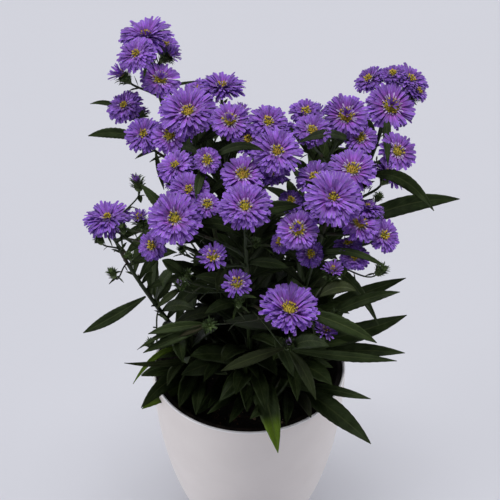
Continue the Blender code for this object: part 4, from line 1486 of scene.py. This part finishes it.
# stem, share of its height, then the picture point of the tip and how many millimetres before the pot's
# axis it lies, and the width, arch and roll, as in the part
CAD_LEAVES = {
    "leaf_01": ("stem_8", 0.53, (83, 333, 26), 9.0, -1, 0),
    "leaf_02": ("stem_2", 0.13, (124, 363, 32), 5.5, -6, 0),
    "leaf_03": ("stem_8", 0.03, (141, 408, 50), 12.0, 6, 0),
    "leaf_04": ("stem_7", 0.04, (278, 453, 84), 18.0, 20, 0),
    "leaf_05": ("stem_6", 0.04, (371, 444, 78), 16.0, 8, 0),
    "leaf_06": ("stem_6", 0.02, (371, 399, 54), 8.0, 1, 0),
    "leaf_07": ("stem_6", 0.12, (344, 317, 28), 10.0, -2, 0),
    "leaf_08": ("stem_5", 0.06, (405, 353, 14), 12.0, 3, 0),
    "leaf_09": ("stem_5", 0.11, (407, 315, 8), 15.0, -3, 0),
    "leaf_10": ("stem_5", 0.18, (406, 278, 6), 11.0, 3, 0),
    "leaf_11": ("stem_5", 0.46, (460, 199, 10), 13.0, 9, 0),
    "leaf_12": ("stem_5", 0.635, (434, 211, 24), 10.0, 12, 0),
    "leaf_13": ("stem_8", 0.02, (196, 415, 57), 12.0, 6, 0),
    "leaf_14": ("stem_6", 0.29, (225, 321, 52), 13.0, 2, 0),
}
LEAF_TONES = {"leaf_04": 0.90, "leaf_03": 0.60, "leaf_02": 0.30}
USUAL_LEAF_TONE = 0.5
CAD_LEAF_LIVELINESS = 0.5
STEM_FOOT_RADIUS = 0.0021
STEM_TIP_RADIUS = 0.0010


def in_front(u, v, near):
    """Where a picture point's sight line crosses the upright plane near millimetres in front of the axis."""
    way = sight(u, v)
    return EYE + way * ((-near * MM - EYE[1]) / way[1])


for name, (stem, share, tip, width, arch, roll) in CAD_LEAVES.items():
    chance = chance_for(name)
    centre, way = along(STEM_LINES[stem], share)
    tip = in_front(*tip)
    out = unit(tip - centre - way * ((tip - centre) @ way))
    radius = STEM_FOOT_RADIUS + (STEM_TIP_RADIUS - STEM_FOOT_RADIUS) * share
    base = centre + out * (radius + LEAF_LIFT)
    leaf = Leaf(base, tip, width, arch, roll, LEAF_TONES.get(name, USUAL_LEAF_TONE), TO_THE_FRONT)
    blade = Sheets()
    bodies = leaf_bodies([leaf], chance, liveliness=CAD_LEAF_LIVELINESS)
    blade.add(bodies, chance, tone=leaf.tone, closed=True)
    belongs(blade.build(f"{name}_blade", LEAF_FINISH), "leaf_green", name)


# The other leaves that the photograph shows one by one are the same blades. Each starts from the stem or
# stalk that passes nearest to where its base is seen, and one at the front goes before one at the back. Its
# tip is seen at its own picture point and lies nearer millimetres before the base.
SeenLeaf = namedtuple("SeenLeaf", "base tip nearer width arch roll tone")
SEEN_LEAVES = [
    SeenLeaf((118, 107), (90, 104), 0, 3.8, 4, 0, 0.5),
    SeenLeaf((127, 138), (88, 136), 2, 7.5, 3, 0, 0.5),
    SeenLeaf((180, 78), (198, 81), 0, 2.2, 1, 0, 0.5),
    SeenLeaf((150, 164), (135, 159), 0, 2.5, 1, 0, 0.5),
    SeenLeaf((150, 164), (164, 190), 4, 4, 2, 0, 0.5),
    SeenLeaf((167, 209), (141, 184), 4, 7, 1, 0, 0.5),
    SeenLeaf((155, 204), (141, 203), 0, 3.5, 1, 0, 0.5),
    SeenLeaf((158, 240), (143, 230), 0, 6, 2, 0, 0.5),
    SeenLeaf((142, 285), (153, 272), 0, 4, 1, 0, 0.5),
    SeenLeaf((155, 300), (172, 280), 2, 6, 2, 0, 0.5),
    SeenLeaf((188, 273), (162, 260), 4, 8, 2, 0, 0.5),
    SeenLeaf((212, 308), (137, 350), 8, 5, 5, 20, 0.5),
    SeenLeaf((200, 342), (143, 353), 6, 7, 4, 0, 0.4),
    SeenLeaf((205, 333), (148, 334), 10, 7, 3, 0, 0.4),
    SeenLeaf((201, 370), (141, 375), 8, 7.5, 6, 0, 0.5),
    SeenLeaf((206, 362), (141, 376), 20, 9, 4, 0, 0.5),
    SeenLeaf((208, 384), (142, 409), 30, 11, 1, 0, 0.93),
    SeenLeaf((186, 354), (133, 384), 12, 4.5, 13, 0, 0.97),
    SeenLeaf((230, 372), (206, 402), 30, 7, 4, 0, 0.6),
    SeenLeaf((236, 384), (208, 408), 34, 9, 4, 0, 0.5),
    SeenLeaf((234, 380), (198, 414), 34, 11, 4, 0, 0.5),
    SeenLeaf((236, 386), (237, 401), 12, 4.7, 2, 0, 0.5),
    SeenLeaf((262, 363), (221, 371), 4, 8.5, 2, 0, 0.25),
    SeenLeaf((262, 379), (247, 412), 40, 13, 6, 0, 0.5),
    SeenLeaf((288, 392), (250, 419), 62, 12, 3, 0, 0.5),
    SeenLeaf((250, 398), (207, 414), 48, 10, 3, 0, 0.4),
    SeenLeaf((262, 396), (229, 423), 54, 9, 3, 0, 0.5),
    SeenLeaf((304, 398), (286, 425), 56, 9, 3, 0, 0.4),
    SeenLeaf((290, 392), (311, 418), 50, 9, 3, 160, 0.4),
    SeenLeaf((294, 384), (275, 388), 42, 12, 4, 160, 0.5),
    SeenLeaf((263, 340), (293, 376), 4, 10, 5, 0, 0.4),
    SeenLeaf((300, 368), (316, 400), 8, 8, 4, 0, 0.3),
    SeenLeaf((293, 379), (329, 346), 34, 10, 4, 0, 0.5),
    SeenLeaf((227, 272), (217, 293), 8, 6.6, 3, 0, 0.3),
    SeenLeaf((214, 306), (188, 287), 6, 7, 2, 0, 0.5),
    SeenLeaf((318, 325), (400, 292), -2, 8, 4, 0, 0.5),
    SeenLeaf((318, 268), (379, 326), 0, 7.5, 13, 0, 0.5),
    SeenLeaf((282, 356), (397, 361), -14, 7, 4, 0, 0.4),
    SeenLeaf((296, 312), (377, 343), 4, 10, 5, 0, 0.4),
    SeenLeaf((317, 298), (356, 291), 10, 9, 5, 0, 0.25),
    SeenLeaf((388, 113), (388, 166), 54, 6, 3, 0, 0.5),
    SeenLeaf((358, 146), (298, 143), 62, 6.5, 5, 0, 0.4),
    SeenLeaf((213, 160), (264, 151), 18, 6, 7, 0, 0.4),
    SeenLeaf((176, 143), (200, 154), 44, 5.5, 2, 0, 0.5),
    SeenLeaf((216, 178), (196, 199), 18, 6.5, 4, 0, 0.5),
    SeenLeaf((261, 192), (291, 180), 4, 5, 2, 0, 0.5),
    SeenLeaf((265, 222), (300, 206), 2, 9, 4, 0, 0.5),
    SeenLeaf((312, 258), (388, 269), 16, 5, 8, 0, 0.5),
    SeenLeaf((246, 264), (289, 268), 10, 8, 4, 0, 0.5),
    SeenLeaf((310, 270), (285, 241), 12, 6, 3, 0, 0.5),
    SeenLeaf((184, 322), (179, 337), 6, 4, 2, 0, 0.0),
    SeenLeaf((166, 296), (157, 308), 4, 5, 2, 0, 0.3),
]
# How many picture points further off a stem may be for each metre that it lies nearer to the eye
BEHIND_COSTS = 180.0


def at_depth(u, v, depth):
    """The place on a picture point's sight line that lies depth metres ahead of the eye."""
    return EYE + sight(u, v) * depth


def depth_of(places):
    return (places - EYE) @ VIEW_AHEAD


def picture_point(places):
    """Where places are seen in the picture, as (u, v) pairs."""
    depth = depth_of(places)
    u = VIEW_SIZE / 2 + VIEW_FOCAL * ((places - EYE) @ VIEW_RIGHT) / depth
    v = VIEW_SIZE / 2 - VIEW_FOCAL * ((places - EYE) @ VIEW_ABOVE) / depth
    return np.stack([u, v], -1)


outer_leaves = {stem: [] for stem in TIP_FLOWERS}
hold_stems = list(LINE_STEMS)
hold_places = [LINE_PLACES]
for stem, stalks in SIDE_STALK_LINES.items():
    for stalk in stalks:
        hold_stems += [stem] * len(stalk)
        hold_places.append(stalk)
hold_places = np.concatenate(hold_places)
hold_points = picture_point(hold_places)
hold_depths = depth_of(hold_places)
for seen in SEEN_LEAVES:
    away = np.linalg.norm(hold_points - np.array(seen.base), axis=1)
    k = int(np.argmin(away + BEHIND_COSTS * (hold_depths - hold_depths.min())))
    tip = at_depth(*seen.tip, hold_depths[k] - seen.nearer * MM)
    leaf = Leaf(hold_places[k], tip, seen.width, seen.arch, seen.roll, seen.tone, TO_THE_FRONT)
    outer_leaves[hold_stems[k]].append(leaf)

for stem, leaves in outer_leaves.items():
    if leaves:
        chance = chance_for(stem)
        group = Sheets()
        group.add(leaf_bodies(leaves, chance), chance, tone=[leaf.tone for leaf in leaves], closed=True)
        belongs(group.build(f"{stem}_outer_leaves", LEAF_FINISH), "leaf_green")


# Inside the plant every stem is closely set with leaves, longest near the soil. They get shorter where
# they would stand out past the leafy outline that the photograph shows on the left, right and top.
INNER_ROWS = 12
INNER_LEAVES = 46
INNER_SHARES = (0.03, 0.97)
INNER_LENGTHS = ((0.0, 56), (0.3, 50), (0.6, 38), (1.0, 26))
INNER_SLOPES = (18, 58)
INNER_WIDTH = 0.23
INNER_WIDTH_CHANCE = (0.8, 1.3)
INNER_LENGTH_CHANCE = (0.75, 1.15)
INNER_ARCHES = (0.06, 0.16)
INNER_ROLL = 14
INNER_TONES = (0.3, 0.62)
INNER_TURN_CHANCE = 0.4
INNER_SHRINK = 0.85
INNER_SHORTEST = 0.008
INNER_UPWARD = 0.5
INNER_FRONTWARD = 0.6
INNER_ALONG_STEM = 0.3
LOW_LEAVES = 12
LOW_SHARES = (0.03, 0.12)
LOW_SLOPES = (4, 24)
LOW_LENGTH = 0.050
LOW_LENGTH_CHANCE = (0.8, 1.1)
LOW_WIDTH = 0.26

# The leafy outline, in picture points: pairs of how low and how far to the right, and for the top the other
# way round
OUTLINE_LEFT = np.array((
    (150, 165), (180, 160), (200, 160), (220, 150), (240, 146), (260, 156), (280, 166), (295, 186),
    (308, 194), (320, 184), (330, 168), (345, 155), (380, 150), (400, 160), (415, 190), (425, 240),
))
OUTLINE_RIGHT = np.array((
    (150, 370), (180, 378), (200, 375), (220, 370), (240, 370), (260, 385), (280, 390), (300, 385),
    (320, 380), (340, 380), (355, 375), (365, 340), (400, 330), (420, 300),
))
OUTLINE_TOP = np.array(((165, 75), (190, 105), (240, 115), (300, 125), (345, 125), (375, 95), (400, 110)))
# Above this share of a stem its leaves stand at the back, where they don't hide the flowers
FRONT_FREE_SHARE = 0.5
POT_CLEAR_HEIGHT = 0.154
POT_CLEAR_RADIUS = 0.058
BACK_LIMIT = 0.092


def inside_outline(place):
    """Whether a place is clear of the pot, not behind the plant's back and seen inside the leafy outline."""
    u, v = picture_point(place)
    left = np.interp(v, OUTLINE_LEFT[:, 0], OUTLINE_LEFT[:, 1])
    right = np.interp(v, OUTLINE_RIGHT[:, 0], OUTLINE_RIGHT[:, 1])
    below_top = v > np.interp(u, OUTLINE_TOP[:, 0], OUTLINE_TOP[:, 1])
    clear = place[2] > POT_CLEAR_HEIGHT or math.hypot(place[0], place[1]) < POT_CLEAR_RADIUS
    return left < u < right and below_top and clear and abs(place[1]) < BACK_LIMIT


def bushy_leaf(line, share, turn, slope, length, slimness, chance):
    """A leaf from a share of a stem's line, turned about the upright and shortened until it stays inside."""
    base, way = along(line, share)
    out = np.array((math.cos(turn), math.sin(turn), 0)) * math.cos(slope)
    out = unit(out + way * math.sin(slope))
    while length > INNER_SHORTEST and not inside_outline(base + out * length):
        length *= INNER_SHRINK
    width = length / MM * slimness * chance.uniform(*INNER_WIDTH_CHANCE)
    arch = length / MM * chance.uniform(*INNER_ARCHES)
    facing = unit(np.array((0, 0, INNER_UPWARD)) + TO_THE_FRONT * INNER_FRONTWARD + way * INNER_ALONG_STEM)
    roll = chance.normal(0, INNER_ROLL)
    tone = chance.uniform(*INNER_TONES)
    return Leaf(base, base + out * length, width, arch, roll, tone, facing)


def inner_leaves(stem, chance):
    """The leaves set round one main stem, each a golden turn from the last, and its low broad ones."""
    leaves = []
    line = STEM_LINES[stem]
    lowest, highest = INNER_SHARES
    for k in range(INNER_LEAVES):
        share = lowest + (highest - lowest) * (k + chance.uniform(0, 1)) / INNER_LEAVES
        turn = k * GOLDEN_TURN + chance.uniform(-INNER_TURN_CHANCE, INNER_TURN_CHANCE)
        slope = math.radians(chance.uniform(*INNER_SLOPES))
        if share > FRONT_FREE_SHARE:
            turn = abs((turn + math.pi) % (2 * math.pi) - math.pi)
        length = np.interp(share, *zip(*INNER_LENGTHS)) * MM * chance.uniform(*INNER_LENGTH_CHANCE)
        leaves.append(bushy_leaf(line, share, turn, slope, length, INNER_WIDTH, chance))
    for k in range(LOW_LEAVES):
        share = chance.uniform(*LOW_SHARES)
        turn = k * GOLDEN_TURN + chance.uniform(-INNER_TURN_CHANCE, INNER_TURN_CHANCE)
        slope = math.radians(chance.uniform(*LOW_SLOPES))
        length = LOW_LENGTH * chance.uniform(*LOW_LENGTH_CHANCE)
        leaves.append(bushy_leaf(line, share, turn, slope, length, LOW_WIDTH, chance))
    return leaves


for stem in TIP_FLOWERS:
    chance = chance_for(f"{stem} inner")
    leaves = inner_leaves(stem, chance)
    group = Sheets()
    bodies = leaf_bodies(leaves, chance, INNER_ROWS)
    group.add(bodies, chance, tone=[leaf.tone for leaf in leaves], closed=True)
    belongs(group.build(f"{stem}_inner_leaves", LEAF_FINISH), "leaf_green")


# Small narrow leaves stand along every flower stalk and the top of every stem, and get shorter towards the
# head. They are the same blades as the large ones, and are grown on the stalk.
STALK_LEAF_ROWS = 9
STALK_LEAVES = 5
STALK_LEAF_SHARES = (0.2, 0.95)
STALK_LEAF_SHIFT = 0.8
STALK_LEAF_LENGTHS = (7, 14)
STALK_LEAF_WIDTH = 0.20
STALK_LEAF_ARCH = 0.1
STALK_LEAF_SLOPE = (30, 60)
STALK_LEAF_TURN_CHANCE = 2
STALK_LEAF_TONES = (0.4, 0.7)
SHORTER_BY = (1.1, 0.5)
STEM_TOP_STEP = STEM_STEPS * 2 // 3


def stalk_leaves(line, chance):
    leaves = []
    lowest, highest = STALK_LEAF_SHARES
    foot_length, shortening = SHORTER_BY
    for k in range(STALK_LEAVES):
        share = lowest + (highest - lowest) * (k + chance.uniform(0, STALK_LEAF_SHIFT)) / STALK_LEAVES
        base, way = along(line, share)
        turn = k * GOLDEN_TURN + chance.uniform(0, STALK_LEAF_TURN_CHANCE)
        slope = math.radians(chance.uniform(*STALK_LEAF_SLOPE))
        first, second, _ = own_frame(way)
        out = (first * math.cos(turn) + second * math.sin(turn)) * math.cos(slope) + way * math.sin(slope)
        length = chance.uniform(*STALK_LEAF_LENGTHS) * (foot_length - shortening * share)
        tip = base + out * length * MM
        width = length * STALK_LEAF_WIDTH
        tone = chance.uniform(*STALK_LEAF_TONES)
        leaves.append(Leaf(base, tip, width, length * STALK_LEAF_ARCH, 0, tone, way))
    return leaves


for stem in TIP_FLOWERS:
    chance = chance_for(f"{stem} stalks")
    lines = [STEM_LINES[stem][STEM_TOP_STEP:]]
    lines += [STALK_LINES[f"flower_{number}"] for number in FORKS[stem]]
    lines += SIDE_STALK_LINES[stem]
    leaves = [leaf for line in lines for leaf in stalk_leaves(line, chance)]
    group = Sheets()
    bodies = leaf_bodies(leaves, chance, STALK_LEAF_ROWS)
    group.add(bodies, chance, tone=[leaf.tone for leaf in leaves], closed=True)
    belongs(group.build(f"{stem}_stalk_leaves", LEAF_FINISH), "leaf_green")


# The floor is a plain pale sheet that glows a little, so that shadows on it stay faint. Soft lamps light the
# plant from above and from both sides, and the same pale colour stands behind it.
FLOOR_PALE = (0.44, 0.445, 0.485)
FLOOR_GLOW = (0.215, 0.217, 0.238)
FLOOR_CLOUD_LIGHT = 0.99
FLOOR_SPAN = 12.0
BACKDROP = (0.645, 0.651, 0.708)
AMBIENT = 0.20

# way: the direction the light comes from. softness: the angle it fills, in degrees.
Lamp = namedtuple("Lamp", "way softness strength")
LAMPS = {
    "overhead": Lamp((0.0, 0.06, 1.0), 30, 2.25),
    "left_side": Lamp((-1.0, -0.30, 0.18), 40, 1.5),
    "right_side": Lamp((1.0, -0.02, 0.16), 34, 1.0),
}


def build_stage():
    bm = bmesh.new()
    half = FLOOR_SPAN / 2
    corners = [bm.verts.new((x * half, y * half, 0)) for x, y in ((-1, -1), (1, -1), (1, 1), (-1, 1))]
    bm.faces.new(corners)
    mesh = bpy.data.meshes.new("floor")
    bm.to_mesh(mesh)
    bm.free()
    floor = bpy.data.objects.new("floor", mesh)
    bpy.context.scene.collection.objects.link(floor)
    finish, tree, shader = new_finish("pale_floor", roughness=0.9, gloss=0.1)
    clouds = mottle(tree, place_coordinates(tree), scale=3.0)
    shaded = tuple(FLOOR_CLOUD_LIGHT * value for value in FLOOR_PALE)
    feed(tree, tint(tree, FLOOR_PALE, shaded, clouds), shader.inputs["Base Color"])
    shader.inputs["Emission Color"].default_value = (*FLOOR_GLOW, 1.0)
    shader.inputs["Emission Strength"].default_value = 1.0
    mesh.materials.append(finish)
    floor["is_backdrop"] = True
    for name, lamp in LAMPS.items():
        light = bpy.data.lights.new(name, "SUN")
        light.angle = math.radians(lamp.softness)
        light.energy = lamp.strength
        holder = bpy.data.objects.new(name, light)
        holder.rotation_euler = Vector(lamp.way).to_track_quat("Z", "Y").to_euler()
        bpy.context.scene.collection.objects.link(holder)
    world = bpy.data.worlds.new("studio")
    world.use_nodes = True
    tree = world.node_tree
    background = tree.nodes["Background"]
    seen = tree.nodes.new("ShaderNodeLightPath").outputs["Is Camera Ray"]
    background.inputs["Color"].default_value = (*BACKDROP, 1.0)
    tree.links.new(rise(tree, seen, 0.0, 1.0, AMBIENT, 1.0), background.inputs["Strength"])
    bpy.context.scene.world = world
    bpy.context.scene.view_settings.view_transform = "Standard"


build_stage()

boxes = {"cad": CAD_BOX, "visual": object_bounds()}
boxes = {title: [list(corner) for corner in box] for title, box in boxes.items()}
